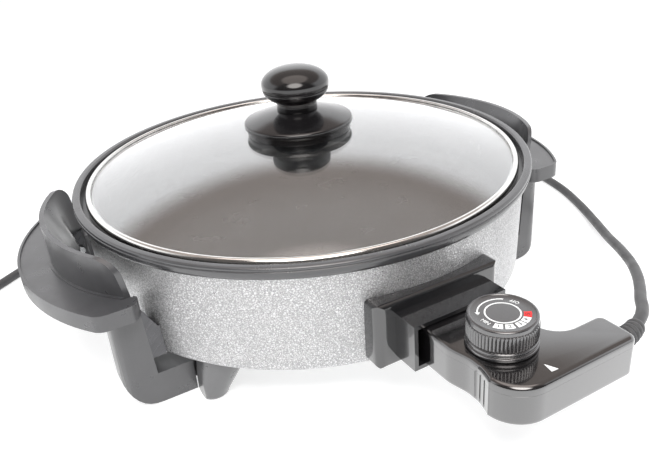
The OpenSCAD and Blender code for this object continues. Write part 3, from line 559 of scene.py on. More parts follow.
def dressed(node, body, slot, finish, width, segments=3):
    """Copy of a CAD node whose flat areas are single faces and whose sharp edges are
    rounded to width millimetres, or left as they are where width is 0."""
    mesh = nodes[node].data.copy()
    mesh.name = node + "_part"
    mesh.materials.clear()
    if mesh.has_custom_normals:
        mesh.attributes.remove(mesh.attributes["custom_normal"])
    work = bmesh.new()
    work.from_mesh(mesh)
    bmesh.ops.remove_doubles(work, verts=work.verts, dist=MERGE)
    bmesh.ops.dissolve_limit(work, angle_limit=FLAT, verts=work.verts, edges=work.edges)
    for face in work.faces:
        face.smooth = True
        face.material_index = 0
    work.to_mesh(mesh)
    work.free()
    piece = add_object(node + "_part", mesh)
    if width:
        bevel = piece.modifiers.new("soft edges", "BEVEL")
        bevel.width = width * MM
        bevel.segments = segments
        bevel.limit_method = "ANGLE"
        bevel.angle_limit = SHARP
        bevel.harden_normals = True
    else:
        mesh.set_sharp_from_angle(angle=SHARP)
    return seat(piece, body, slot, finish, node)


# %% [markdown]
# ## The plug and the tie
# The plug is a round mains plug with side notches. It lies on its side next to the coil,
# and a strap holds the coil's two layers. All three ride with the cord.

# %% Plug, pins and tie
PLUG_FINISH = moulded("plug_moulding", (0.06, 0.06, 0.062), gloss=(0.4, 0.5), dust=0.1)
PLATED = bare_metal("plated_steel", (0.66, 0.67, 0.68), gloss=(0.2, 0.34))
TIE_FINISH = moulded("tie_strap", (0.05, 0.05, 0.052), gloss=(0.5, 0.62), grain=700.0)
plug = dressed("plug_body", "controller", "plug_black", PLUG_FINISH, 0.8)
pins = dressed("plug_pins", "controller", "pin_plate", PLATED, 0.3, segments=2)
tie = dressed("cord_tie", "controller", "tie_black", TIE_FINISH, 0.4)


# %% [markdown]
# ## The strain relief
# Where the cord leaves the thermostat, a ribbed rubber sleeve keeps it from kinking. It
# tapers, bends with the cord and carries a few thick ribs. It is the same tube as the cord,
# carried along an arc, with a radius that swells at each rib.

# %% Strain relief
RIBS = 5
RIB_SHARP = 6
RIB_PHASE = 0.62
RIB_R, RIB_TAPER = 7.9, 1.7
SLEEVE_R, SLEEVE_SIDES = 5.0, 32
RELIEF_STEPS = 120
ROOT_STEPS = np.array([(-4.6, 7.0), (-2.6, 7.0), (-2.55, 6.0), (0, 6.0), (0.05, 8.0), (1.9, 8.0)])


def relief_radius(s):
    """The ribs taper from 7.9 to 6.2. Between two ribs the radius drops to the sleeve's:
    with w a cosine that is 1 on each rib, the rib shape is w to the power 1/RIB_SHARP,
    which is flat on top and falls off quickly."""
    top = RIB_R - RIB_TAPER * s
    w = 0.5 + 0.5 * np.cos(2 * np.pi * (s * RIBS - RIB_PHASE))
    return SLEEVE_R + (top - SLEEVE_R) * w ** (1 / RIB_SHARP)


def relief_surface():
    """Root that steps along X inside the case wall, by rows of distance and radius, and then
    the ribs along an arc."""
    s = np.linspace(0, 1, RELIEF_STEPS + 1)
    a = -np.pi / 2 + RELIEF_TURN * s
    centre = RELIEF_AT + [RELIEF_ROOT, RELIEF_BEND, 0]
    path = np.stack([centre[0] + RELIEF_BEND * np.cos(a), centre[1] + RELIEF_BEND * np.sin(a),
                     centre[2] + 0 * a], -1)
    root = RELIEF_AT + ROOT_STEPS[:, :1] * [1, 0, 0]
    radius = np.append(ROOT_STEPS[:, 1], relief_radius(s))
    return tube(np.vstack([root, path]), radius, SLEEVE_SIDES)


make_piece("strain_sleeve", relief_surface(), "controller", "cord_black", CORD_FINISH,
           "strain_relief", smooth_below=50)

# %% [markdown]
# ## The pan
# The pan is cast in aluminium: a flat floor, a soft fillet and a nearly upright wall. Its
# outside carries hammer enamel and its inside a dark non-stick coat, so it is one revolved
# mesh with two finishes, and each face takes one by where it lies.

# %% Hammer enamel
PEBBLE_LOW, PEBBLE_HIGH = (0.34, 0.34, 0.345, 1), (0.67, 0.67, 0.675, 1)
PEBBLE_SCALE, PEBBLE_SLOPE, PEBBLE_DEPTH = 620.0, 0.26, 0.00016
PUSH_SCALE, PUSH = 520.0, 0.0034


def hammer_enamel():
    """Silver enamel that has crept into small pebbles. The distance to the edge of Voronoi
    cells of about 2 mm, read at points that noise has pushed about, rises from thin valleys
    to flat tops. It gives the height, and a darker colour to the valleys alone."""
    finish, tree, shader, at = start_finish("hammer_enamel", Metallic=0.8)
    push = add_node(tree, "VectorMath", {
        0: noise(tree, at, PUSH_SCALE, 3.0)["Color"], 1: (0.5, 0.5, 0.5)}, operation="SUBTRACT")
    push = add_node(tree, "VectorMath", {0: push["Vector"], "Scale": PUSH}, operation="SCALE")
    where = add_node(tree, "VectorMath", {0: at, 1: push["Vector"]}, operation="ADD")
    cells = add_node(tree, "TexVoronoi", {"Vector": where["Vector"], "Scale": PEBBLE_SCALE},
                     feature="DISTANCE_TO_EDGE")
    tops = spread(tree, cells["Distance"], 0.0, PEBBLE_SLOPE, interpolation_type="SMOOTHSTEP")
    feed(tree, shader, {"Base Color": mixed(tree, tops, PEBBLE_LOW, PEBBLE_HIGH),
                        "Roughness": drifting(tree, at, 300.0, 0.27, 0.37),
                        "Normal": bumped(tree, tops, PEBBLE_DEPTH)})
    return finish


# %% Non-stick coat
COAT_COLOUR, FLECK_COLOUR = (0.030, 0.030, 0.032, 1), (0.17, 0.165, 0.16, 1)
FLECK_SCALE, FLECK_EDGE, FLECK_SHARE = 1400.0, (0.12, 0.22), 0.07


def non_stick():
    """Dark coat with tiny mineral flecks and a faint orange-peel surface."""
    finish, tree, shader, at = start_finish("non_stick", Coat_Weight=0.3, Coat_Roughness=0.25)
    cells = add_node(tree, "TexVoronoi", {"Vector": at, "Scale": FLECK_SCALE})
    flecks = spread(tree, cells["Distance"], *FLECK_EDGE, FLECK_SHARE, 0.0)
    feed(tree, shader, {"Base Color": mixed(tree, flecks, COAT_COLOUR, FLECK_COLOUR),
                        "Roughness": drifting(tree, at, 30.0, 0.26, 0.36),
                        "Normal": grained(tree, at, 900.0, 0.00001)})
    return finish


# %% Pan
SKIRT_Z = 37.0
SKIRT_IN_R = 178.2
WALL_FOOT_R, WALL_FOOT_EDGE = 181.7, 3.0
WALL_TOP = (184.0, 113.9)
LEDGE_Z = 117.0
INSIDE_TOP, INSIDE_LOW = (176.8, 115.8), (172.9, 78.0)
FILLET_R = 12.0
FLOOR_Z, FLOOR_T = 66.0, 5.0
COAT_R, COAT_Z = 177.7, 116.5


def pan_outline():
    """Half section from the axis under the floor, round the skirt and the wall's top, and
    down the inside to the axis again."""
    return np.vstack([
        [(r, FLOOR_Z - FLOOR_T) for r in (0, 40, 120, SKIRT_IN_R)],
        [(SKIRT_IN_R, SKIRT_Z + 0.3), (SKIRT_IN_R + 0.3, SKIRT_Z)],
        arc(WALL_FOOT_R - WALL_FOOT_EDGE, SKIRT_Z + WALL_FOOT_EDGE, WALL_FOOT_EDGE, -90, 0, 6),
        np.linspace((WALL_FOOT_R, SKIRT_Z + WALL_FOOT_EDGE), WALL_TOP, 14)[1:],
        [(WALL_TOP[0], LEDGE_Z), (177.5, LEDGE_Z), (176.9, 116.4), INSIDE_TOP],
        np.linspace(INSIDE_TOP, INSIDE_LOW, 8)[1:-1],
        arc(INSIDE_LOW[0] - FILLET_R, INSIDE_LOW[1], FILLET_R, 0, -90, 12),
        [(r, FLOOR_Z) for r in (130, 90, 40, 0)]])


ENAMEL, COAT = hammer_enamel(), non_stick()
pan = make_piece("pan_shell", revolve(pan_outline(), closed=False), "cooker", "wall_paint",
                 ENAMEL, "pan")
pan.data.materials.append(COAT)
centres = np.empty(len(pan.data.polygons) * 3)
pan.data.polygons.foreach_get("center", centres)
centres = (centres.reshape(-1, 3) - PAN_AXIS) / MM
from_axis = np.hypot(centres[:, 0], centres[:, 1])
inside = (centres[:, 2] > FLOOR_Z - 1) & ((from_axis < COAT_R) | (centres[:, 2] > COAT_Z))
pan.data.polygons.foreach_set("material_index", inside.astype(np.int32))
print("pan faces with non-stick coat:", int(inside.sum()), "of", len(inside))


# %% [markdown]
# ## The rim ring
# A black ring caps the wall. Its outside has a rounded shoulder and a small step, which
# catch two thin highlights, so every corner of its section is softened by its own amount.

# %% Rim ring
RIM_FINISH = moulded("rim_enamel", (0.055, 0.055, 0.058), gloss=(0.18, 0.28), grain=600.0,
                     depth=0.00001, dust=0.02, level=0.9)
RIM_R, RIM_IN_R = 190.0, 184.1
RIM_TOP_Z = 124.0
RIM_ROWS = [
    (RIM_IN_R, WALL_TOP[1], 0.2), (187.2, WALL_TOP[1], 0.8), (189.0, 116.0, 1.4),
    (RIM_R, 119.5, 0.5), (RIM_R, 120.6, 0.3), (189.3, 121.0, 0.3), (189.8, 121.6, 0.3),
    (189.8, 123.0, 0.6), (188.8, RIM_TOP_Z, 0.6), (184.6, RIM_TOP_Z, 0.6),
    (183.6, 123.2, 0.5), (182.6, LEDGE_Z, 0.2), (RIM_IN_R, LEDGE_Z, 0.1)]

make_piece("rim_cap", revolve(rounded(RIM_ROWS)), "cooker", "rim_black", RIM_FINISH,
           "rim_ring")

# %% [markdown]
# ## The glass lid
# The lid is a shallow dome of tempered glass, so it is a real shell with an outer and an
# inner face: both reflect, and that double reflection is the pale veil over the pan's
# inside. A clear coat with a high index makes the veil as strong as the photograph shows. A
# folded steel band guards the edge. For rays from lamps the glass lets light straight
# through, so that the pan isn't left in the dark.

# %% Glass
DOME_R = 567.0
DOME_TOP_Z = 150.0
GLASS_T = 4.0
GLASS_R = 176.0
HOLE_R = 6.0
EDGE_BULGE = (1.2, GLASS_T / 2)
GLASS_WAVE = (14.0, 0.00012)
GLASS_TINT, SHADOW_TINT = (0.975, 0.99, 0.985, 1), (0.93, 0.95, 0.94, 1)


def dome_z(radius, grown=0.0):
    """Height of a sphere of radius DOME_R + grown whose outer face tops out at DOME_TOP_Z."""
    return DOME_TOP_Z - DOME_R + np.sqrt((DOME_R + grown) ** 2 - np.asarray(radius) ** 2)


def glass_finish():
    """Clear glass with a faint slow wave. A shadow ray meets a transparent shader instead."""
    finish, tree, shader, at = start_finish(
        "lid_glass", Transmission_Weight=1.0, Roughness=0.0, IOR=1.5,
        Base_Color=GLASS_TINT, Coat_Weight=1.0, Coat_IOR=2.2, Coat_Roughness=0.0)
    feed(tree, shader, {"Normal": grained(tree, at, *GLASS_WAVE)})
    clear = add_node(tree, "BsdfTransparent", {"Color": SHADOW_TINT})["BSDF"]
    lit = add_node(tree, "MixShader", {
        0: add_node(tree, "LightPath")["Is Shadow Ray"],
        1: tree.nodes["Principled BSDF"].outputs["BSDF"], 2: clear})["Shader"]
    feed(tree, tree.nodes["Material Output"].inputs, {"Surface": lit})
    return finish


def glass_outline():
    """Outer dome from the screw hole to the edge, a round edge, and the inner dome back."""
    edge_r = GLASS_R - EDGE_BULGE[0]
    r = np.linspace(HOLE_R, edge_r, 48)
    edge = arc(0, 0, 1, 70, -70, 6) * EDGE_BULGE + (edge_r, dome_z(edge_r) - GLASS_T / 2)
    return np.vstack([np.stack([r, dome_z(r)], -1), edge,
                      np.stack([r, dome_z(r, -GLASS_T)], -1)[::-1]])


make_piece("glass_dome", revolve(glass_outline()), "lid", "lid_glass_clear", glass_finish(),
           "lid_glass", smooth_below=40)

# %% Steel band
BAND_FINISH = bare_metal("band_steel", (0.80, 0.79, 0.77), gloss=(0.08, 0.18), rings=2500.0,
                         depth=0.000003)
BAND_R, BAND_IN_R = 180.0, 173.2
BAND_LOW_Z, BAND_TOP_Z = 117.05, 124.3
LIP_R, FOLD_R = 175.4, 176.1
BAND_GAP = 0.06


def band_outline():
    """Folded sheet: a flat foot, an upright outside, a soft shoulder, and a lip that comes
    down onto the glass."""
    return rounded([
        (BAND_IN_R, BAND_LOW_Z + 0.4, 0.2), (173.7, BAND_LOW_Z, 0.3), (179.0, BAND_LOW_Z, 0.6),
        (BAND_R, BAND_LOW_Z + 1, 0.8), (BAND_R, 122.2, 1.6), (178.6, BAND_TOP_Z, 1.2),
        (176.2, BAND_TOP_Z, 0.7), (LIP_R, 123.6, 0.4), (LIP_R, dome_z(LIP_R) + BAND_GAP, 0),
        (FOLD_R, dome_z(FOLD_R) + BAND_GAP, 0),
        (FOLD_R, dome_z(FOLD_R, -GLASS_T) - BAND_GAP, 0),
        (BAND_IN_R, dome_z(BAND_IN_R, -GLASS_T) - BAND_GAP, 0)], 5)


make_piece("band_fold", revolve(band_outline()), "lid", "stainless", BAND_FINISH, "lid_band")

# %% [markdown]
# ## The knob
# A mushroom knob stands on a wide skirt. Both are glossy black mouldings. The knob has a
# shallow dome, a tight shoulder, a seam groove and a bowl that draws in to a short neck.

# %% Knob
GLOSS_BLACK = moulded("gloss_black", (0.008, 0.0075, 0.008), gloss=(0.14, 0.22), grain=500.0,
                      depth=0.000003, dust=0.0, coat=0.4, coat_gloss=0.06, level=0.35)
KNOB_R = 27.7
KNOB_WIDE_Z = 188.5
KNOB_TOP_Z = 202.0
DOME_POWERS = (0.9, 1.05)
BOWL_Z, BOWL_POWER = 173.5, 3
NECK_R, NECK_Z = 16.7, 165.8
SEAM_Z = (183.0, 184.0)
SEAM = [(26.75, 183.0), (26.5, 183.25), (26.0, 183.3), (26.0, 183.7), (26.6, 183.75),
        (26.9, 184.0)]


def knob_outline():
    """From the axis below the neck, up the bowl (radius grows as 1 - (1 - u)^3), over the
    seam groove and the shoulder, and along nearly an ellipse to the top."""
    u = np.linspace(0, 1, 15)
    bowl = np.stack([KNOB_R - (KNOB_R - NECK_R) * (1 - u) ** BOWL_POWER,
                     BOWL_Z + (KNOB_WIDE_Z - BOWL_Z) * u], -1)
    a = np.radians(np.linspace(0, 90, 22))[1:]
    out, up = np.cos(a) ** DOME_POWERS[0], np.sin(a) ** DOME_POWERS[1]
    dome = np.stack([KNOB_R * out, KNOB_WIDE_Z + (KNOB_TOP_Z - KNOB_WIDE_Z) * up], -1)
    dome[-1, 0] = 0
    return np.vstack([[(0, NECK_Z), (16.3, NECK_Z), (NECK_R, NECK_Z + 0.5), (NECK_R, 172)],
                      bowl[bowl[:, 1] < SEAM_Z[0]], SEAM, bowl[bowl[:, 1] > SEAM_Z[1]], dome])


make_piece("knob_mushroom", revolve(knob_outline(), 160, closed=False), "lid", "knob_black",
           GLOSS_BLACK, "knob", smooth_below=50)

# %% Skirt and collar
COLLAR_FINISH = bare_metal("collar_steel", (0.30, 0.33, 0.36), gloss=(0.12, 0.25))
BORE_R, BUSH_R = 2.7, 10.0
SAUCER_R, SAUCER_IN_R, SAUCER_FOOT_R = 45.0, 39.0, 43.0
COLLAR_R, COLLAR_Z = 24.0, 131.0
LID_GAP = 0.05


def saucer_outline():
    """Closed section: outside of the stepped ring, the cone over the glass and the hollow
    below, which leaves a bush round the screw."""
    return rounded([
        (BORE_R, dome_z(BORE_R, 2 * LID_GAP), 0), (BUSH_R, dome_z(BUSH_R, LID_GAP), 0.3),
        (BUSH_R, 160, 0.5), (34, 155.5, 2), (SAUCER_IN_R, 153, 1),
        (SAUCER_IN_R, dome_z(SAUCER_IN_R, LID_GAP), 0.4),
        (SAUCER_FOOT_R, dome_z(SAUCER_FOOT_R, LID_GAP), 0.5), (SAUCER_FOOT_R, 153.4, 0.3),
        (SAUCER_R, 154.4, 0.5), (SAUCER_R, 157.6, 0.7), (44.1, 158.6, 0.8), (30, 162.8, 3),
        (17.5, NECK_Z, 0.4), (BORE_R, NECK_Z, 0.3)])


def collar_outline():
    """Shallow cup under the glass, which the screw draws up against it."""
    return rounded([
        (BORE_R, 136, 0), (6, 136, 0.3), (6, COLLAR_Z, 0.4), (21, COLLAR_Z, 1.5),
        (COLLAR_R, 134, 1.5), (COLLAR_R, dome_z(COLLAR_R, -GLASS_T) - LID_GAP, 0.3),
        (12, dome_z(12, -GLASS_T) - LID_GAP, 0), (BORE_R, dome_z(BORE_R, -GLASS_T) - LID_GAP, 0)])


make_piece("knob_saucer", revolve(saucer_outline(), 160), "lid", "knob_black", GLOSS_BLACK,
           "knob_skirt")
make_piece("collar_cup", revolve(collar_outline(), 128), "lid", "knob_black", COLLAR_FINISH,
           "lid_collar")

# %% [markdown]
# ## The dial
# The dial turns the thermostat. Its side has a flange, a groove and sixty ridges, and its
# top is a shallow dish with the printed scale. The ridges are a small wave added to the
# radius, so the dial is still one surface of two parameters.

# %% Dial
DIAL_AT = np.array([0.0, -250.0, 0.0])
DIAL_R = 22.3
DIAL_LOW, DIAL_TOP = 78.4, 99.5
DISH = 0.5
RIDGES, RIDGE_STEPS = 60, 12
RIDGE_H, RIDGE_FADE, RIDGE_POWER = 0.42, 0.8, 0.7
RIDGE_LOW, RIDGE_HIGH = DIAL_LOW + 5.9, DIAL_TOP - 3.4
DIAL_FINISH = moulded("dial_black", (0.022, 0.022, 0.024), gloss=(0.2, 0.28), grain=1800.0,
                      depth=0.000006, dust=0.01, coat=0.8, coat_gloss=0.1, level=1.0)


def dial_outline():
    """From the axis underneath, out over flange, groove and grip, and in over the dish."""
    r, low, top, dish_z = DIAL_R, DIAL_LOW, DIAL_TOP, DIAL_TOP - DISH
    side = rounded([
        (r - 0.4, low, 0), (r + 0.3, low + 0.5, 0.4), (r + 0.3, low + 2.5, 0.5),
        (r - 0.9, low + 3.0, 0.3), (r - 0.9, low + 3.8, 0.3), (r, low + 4.2, 0.3),
        (r, low + 5.4, 0.4), (r - 0.8, low + 6.0, 0)], 3, closed=False)
    grip = np.linspace((r - 0.5, low + 6.3), (r - 0.5, top - 4.0), 10)
    crown = rounded([
        (r - 0.8, top - 3.7, 0), (r - 0.4, top - 3.2, 0.4), (r - 0.7, top - 0.6, 0.6),
        (r - 1.5, top, 0.4), (r - 2.5, top, 0.3), (r - 2.8, dish_z, 0.2),
        (r - 8, dish_z, 0)], 3, closed=False)
    return np.vstack([[(0, low)], side, grip, crown, [(8, dish_z), (0, dish_z)]])


def ridged(points):
    """Adds a wave of RIDGES crests to the radius of the points between RIDGE_LOW and
    RIDGE_HIGH. The crest is a cosine, whose power makes it round outside and sharp in the
    valleys."""
    flat, z = points[:, :2], points[:, 2]
    a = np.arctan2(flat[:, 1], flat[:, 0])
    crest = 2 * np.abs(np.cos(RIDGES * a / 2)) ** RIDGE_POWER - 1
    band = (np.clip((z - RIDGE_LOW) / RIDGE_FADE, 0, 1)
            * np.clip((RIDGE_HIGH - z) / RIDGE_FADE, 0, 1))
    r = np.linalg.norm(flat, axis=1)
    grown = 1 + RIDGE_H * crest * band * (r > DIAL_R - 2) / np.maximum(r, 1)
    return np.column_stack([flat * grown[:, None], z])


dial_points, dial_faces = revolve(dial_outline(), RIDGES * RIDGE_STEPS, closed=False)
make_piece("dial_cap", (ridged(dial_points) + DIAL_AT, dial_faces), "dial", "dial_black",
           DIAL_FINISH, "dial", smooth_below=50)


# %% [markdown]
# ### The scale
# The scale is printed in white on the dish: OFF, an arrow that says which way to turn, MIN,
# four boxed steps and a red top step, all round a plain ring. Print has next to no
# thickness, so each mark is a closed slab a few hundredths of a millimetre high. Letters
# come from Blender's own font. Their tops point at the middle of the dial.

# %% Print
PRINT_WHITE = moulded("print_white", (0.80, 0.80, 0.79), gloss=(0.4, 0.5), dust=0.0)
PRINT_RED = moulded("print_red", (0.75, 0.03, 0.03), gloss=(0.4, 0.5), dust=0.0)
PRINT_DARK = moulded("print_dark", (0.03, 0.03, 0.032), gloss=(0.4, 0.5), dust=0.0)
PRINT_Z, PRINT_T = DIAL_TOP - DISH, 0.06
LETTER_WEIGHT = 0.012


def slab(outline, low=PRINT_Z):
    """Closed prism of an outline, PRINT_T high: two caps and a strip of quads."""
    n = len(outline)
    points = np.vstack([np.column_stack([outline, np.full(n, z)]) for z in (low, low + PRINT_T)])
    i = np.arange(n)
    sides = np.stack([i, (i + 1) % n, (i + 1) % n + n, i + n], -1).tolist()
    return points, sides + [i[::-1].tolist(), (i + n).tolist()]


def ring_slab(inner, outer):
    """Closed ring with a rectangular section."""
    high = PRINT_Z + PRINT_T
    return revolve(np.array([(inner, PRINT_Z), (outer, PRINT_Z), (outer, high), (inner, high)]),
                   96)


def sector(start, end, inner, outer, steps=10):
    """Slab over the part of a ring between two angles in degrees."""
    return slab(np.vstack([arc(0, 0, inner, start, end, steps),
                           arc(0, 0, outer, end, start, steps)]))


def joined(parts):
    """One point array and face list from several."""
    points, faces, first_point = [], [], 0
    for part_points, part_faces in parts:
        points.append(part_points)
        faces += [[int(k) + first_point for k in face] for face in part_faces]
        first_point += len(part_points)
    return np.vstack(points), faces


# %% Letters
def letters(text, size, angle, low=PRINT_Z):
    """Letters as a closed slab: a text curve made into a mesh, then turned and moved so
    that its middle is at the angle given and MARK_R, and its top points at the axis."""
    curve = bpy.data.curves.new("letters", "FONT")
    curve.body, curve.size = text, size
    curve.align_x, curve.align_y = "CENTER", "CENTER"
    curve.extrude = PRINT_T / 2
    curve.offset = LETTER_WEIGHT * size
    curve.resolution_u = 3
    holder = add_object("letters", curve)
    mesh = bpy.data.meshes.new_from_object(holder.evaluated_get(
        bpy.context.evaluated_depsgraph_get()))
    a = math.radians(angle)
    middle = (MARK_R * math.cos(a), MARK_R * math.sin(a), low + PRINT_T / 2)
    mesh.transform(Matrix.Translation(middle)
                   @ Euler((0, 0, a + math.pi / 2)).to_matrix().to_4x4())
    points = np.empty(len(mesh.vertices) * 3)
    mesh.vertices.foreach_get("co", points)
    faces = [list(face.vertices) for face in mesh.polygons]
    bpy.data.objects.remove(holder)
    bpy.data.curves.remove(curve)
    bpy.data.meshes.remove(mesh)
    return points.reshape(-1, 3), faces


# %% The marks
MARK_R = 14.6
WORDS = {"OFF": 19, "MIN": 185}
WORD_SIZE, DIGIT_SIZE = 3.6, 4.0
STEP_ANGLES = {"1": 218, "2": 244, "3": 271, "4": 295}
HOT_STEP, HOT_ANGLE = "5", 318
HALF_STEP, STEP_BOX = 10.5, (12.3, 17.0)
RING = (10.2, 11.2)
ARROW_START, ARROW_END, ARROW_TIP = 47, 143, 153
ARROW_LINE, ARROW_HEAD = (14.6, 15.5), (16.6, 13.4, 14.9)


def step_box(angle):
    """Box of one step of the scale."""
    return sector(angle - HALF_STEP, angle + HALF_STEP, *STEP_BOX)


def scale_marks():
    """White marks: words, ring, turning arrow and the boxes of the four lower steps."""
    a = np.radians([ARROW_END, ARROW_END, ARROW_TIP])
    head = np.stack([ARROW_HEAD * np.cos(a), ARROW_HEAD * np.sin(a)], -1)
    return joined([letters(word, WORD_SIZE, angle) for word, angle in WORDS.items()]
                  + [ring_slab(*RING), sector(ARROW_START, ARROW_END, *ARROW_LINE, 32),
                     slab(head)] + [step_box(angle) for angle in STEP_ANGLES.values()])


def digits(steps):
    """Numbers of the steps, which lie on their boxes."""
    return joined([letters(text, DIGIT_SIZE, angle, PRINT_Z + PRINT_T)
                   for text, angle in steps.items()])


for name, (points, faces), finish in (
        ("scale_white", scale_marks(), PRINT_WHITE),
        ("scale_digits", digits(STEP_ANGLES), PRINT_DARK),
        ("scale_hot", step_box(HOT_ANGLE), PRINT_RED),
        ("scale_hot_digit", digits({HOT_STEP: HOT_ANGLE}), PRINT_DARK)):
    make_piece(name, (points + DIAL_AT, faces), "dial", "dial_black", finish, smooth_below=20)

# %% [markdown]
# ## The controller's case
# The thermostat sits in a glossy two-part case. It is pulled out by its sides, so the left
# side is scooped for a finger and has three small grooves. The top edge is rounded, and the
# long highlight on it gives the case its look. Seen from above the case is one outline: each
# level of the case is that outline drawn in by some amount, which bends the side into the
# top.

# %% Case outline
CASE_LOW_Z = 51.0
CASE_SPLIT_Z = 71.5
CASE_TOP_Z = 78.0
CASE_EDGE = 3.2
NECK_HALF, NECK_Y = 30.0, -197.0
FRONT_CURVE = (-6, -270, 24)
CURVE_START, CURVE_LEAN = 186.5, 0.6
ARM_FRONT, ARM_BACK = (64, -288, 6), (64, -270, 6)
HOLLOW_CORNER = (47, -247, 17)
SCOOP_Y = (-233.0, -253.0, -259.0, -272.5)
SCOOP_DEPTH, SCOOP_POWER = 3.4, 1.3
FINE_Y = (-255.2, -270.0)
GROOVES_Y = (-257.5, -262.5, -267.5)
GROOVE_R = 0.9


def smooth_step(u):
    """0 below 0, 1 above 1, and 3u^2 - 2u^3 between."""
    u = np.clip(u, 0, 1)
    return u * u * (3 - 2 * u)


def scooped_side(drawn_in, groove):
    """Left side from the neck to the front corner: x grows smoothly by SCOOP_DEPTH, stays,
    and falls back with the power 1.3. Each groove adds a half circle times groove."""
    start, deep, shallow, end = SCOOP_Y
    y = np.concatenate([np.linspace(start, FINE_Y[0] + 0.2, 24), np.linspace(*FINE_Y, 75),
                        np.linspace(FINE_Y[1] - 0.4, end, 6)])
    depth = SCOOP_DEPTH * smooth_step((start - y) / (start - deep))
    depth -= SCOOP_DEPTH * np.clip((shallow - y) / (shallow - end), 0, 1) ** SCOOP_POWER
    for groove_y in GROOVES_Y:
        across = np.clip(1 - ((y - groove_y) / GROOVE_R) ** 2, 0, 1)
        depth += groove * GROOVE_R * np.sqrt(across)
    return np.stack([drawn_in - NECK_HALF + depth, y], -1)


def case_outline(drawn_in, groove):
    """Outline from above, drawn in by some millimetres: the front corners, the arm with the
    cord, the hollow corner behind it, the neck and the scooped side."""
    i = drawn_in

    def corner(x, y, radius, start, end, steps):
        """Outer corner, whose radius shrinks as the outline is drawn in."""
        return arc(x, y, radius - i, start, end, steps)

    x, y, hollow_r = HOLLOW_CORNER
    return np.vstack([
        corner(*FRONT_CURVE, CURVE_START + CURVE_LEAN * i, 270, 24),
        corner(*ARM_FRONT, 270, 360, 8), corner(*ARM_BACK, 0, 90, 8),
        arc(x, y, hollow_r + i, 270, 180, 16),
        [(NECK_HALF - i, NECK_Y - i), (i - NECK_HALF, NECK_Y - i)],
        scooped_side(i, groove)])


# %% Case pieces
def stacked(levels):
    """Closed piece from outlines at heights: strips of quads and a face at each end. Levels
    are rows of drawn-in amount, height and groove."""
    rings = []
    for drawn_in, z, groove in levels:
        outline = case_outline(drawn_in, groove)
        rings.append(np.column_stack([outline, np.full(len(outline), z)]))
    n = len(rings[0])
    faces = grid_faces(len(rings), n, close_columns=True).tolist()
    faces += [list(range(n)), list(range((len(rings) - 1) * n, len(rings) * n))]
    return np.vstack(rings), faces


def lower_case():
    """Small rounded edge below, then upright, with grooves that start 2 mm up."""
    low, top = CASE_LOW_Z, CASE_SPLIT_Z
    return stacked([(0.8, low, 0), (0.25, low + 0.2, 0), (0, low + 0.8, 0), (0, low + 2, 0),
                    (0, low + 3, 0.6), (0, low + 4, 1), (0, top - 1.5, 1), (0, top - 0.05, 0.9),
                    (0.04, top, 0.9)])


def upper_case():
    """The top edge is a quarter circle, drawn in by r(1 - cos t) at height r sin t."""
    low, top = CASE_SPLIT_Z, CASE_TOP_Z
    levels = [(0.04, low, 0.9), (0, low + 0.05, 0.9), (0, low + 0.8, 0.7),
              (0, low + 1.6, 0), (0, top - CASE_EDGE, 0)]
    levels += [(CASE_EDGE * (1 - math.cos(t)), top - CASE_EDGE * (1 - math.sin(t)), 0)
               for t in np.radians(np.linspace(8, 90, 10))]
    return stacked(levels)


CASE_FINISH = moulded("case_gloss", (0.006, 0.0055, 0.006), gloss=(0.1, 0.2), grain=500.0,
                      depth=0.000004, dust=0.01, coat=1.0, level=1.0)
make_piece("case_lower", lower_case(), "controller", "case_black", CASE_FINISH,
           "controller_tub", smooth_below=32)
make_piece("case_upper", upper_case(), "controller", "case_black", CASE_FINISH,
           "controller_cover", smooth_below=32)

# %% Pointer on the case
POINTER_ROWS = [(4.6, -280.6, 0.4), (8.4, -288.6, 0.4), (3.2, -288.2, 0.4)]

make_piece("pointer_mark", slab(rounded(POINTER_ROWS, 3), CASE_TOP_Z), "controller",
           "case_black", PRINT_WHITE, smooth_below=20)

# %% [markdown]
# ## Feet
# Each foot tapers from a wide top under the pan to a small rounded end, and the side that
# meets the handle's leg is cut flat. A foot is a stack of circles whose centre and radius
# slide along a line, and the cut is a limit on x.

# %% Feet
FOOT_FINISH = moulded("foot_moulding", (0.085, 0.085, 0.088), gloss=(0.26, 0.36), dust=0.02,
                      coat=0.3, coat_gloss=0.25, level=1.0)
FOOT_LOW, FOOT_HIGH = np.array([138.1, 94.9]), np.array([124.0, 92.0])
FOOT_LOW_R, FOOT_HIGH_R = 11.7, 21.0
FOOT_ROUND = 3.2
FOOT_WIDE_Z, FOOT_TOP_Z = 33.0, 36.8
RECESS = [(0, 12.9), (4.9, 12.9), (5.0, 12.6), (5.0, 0.3), (5.3, 0)]
FOOT_CUT_X = 146.9


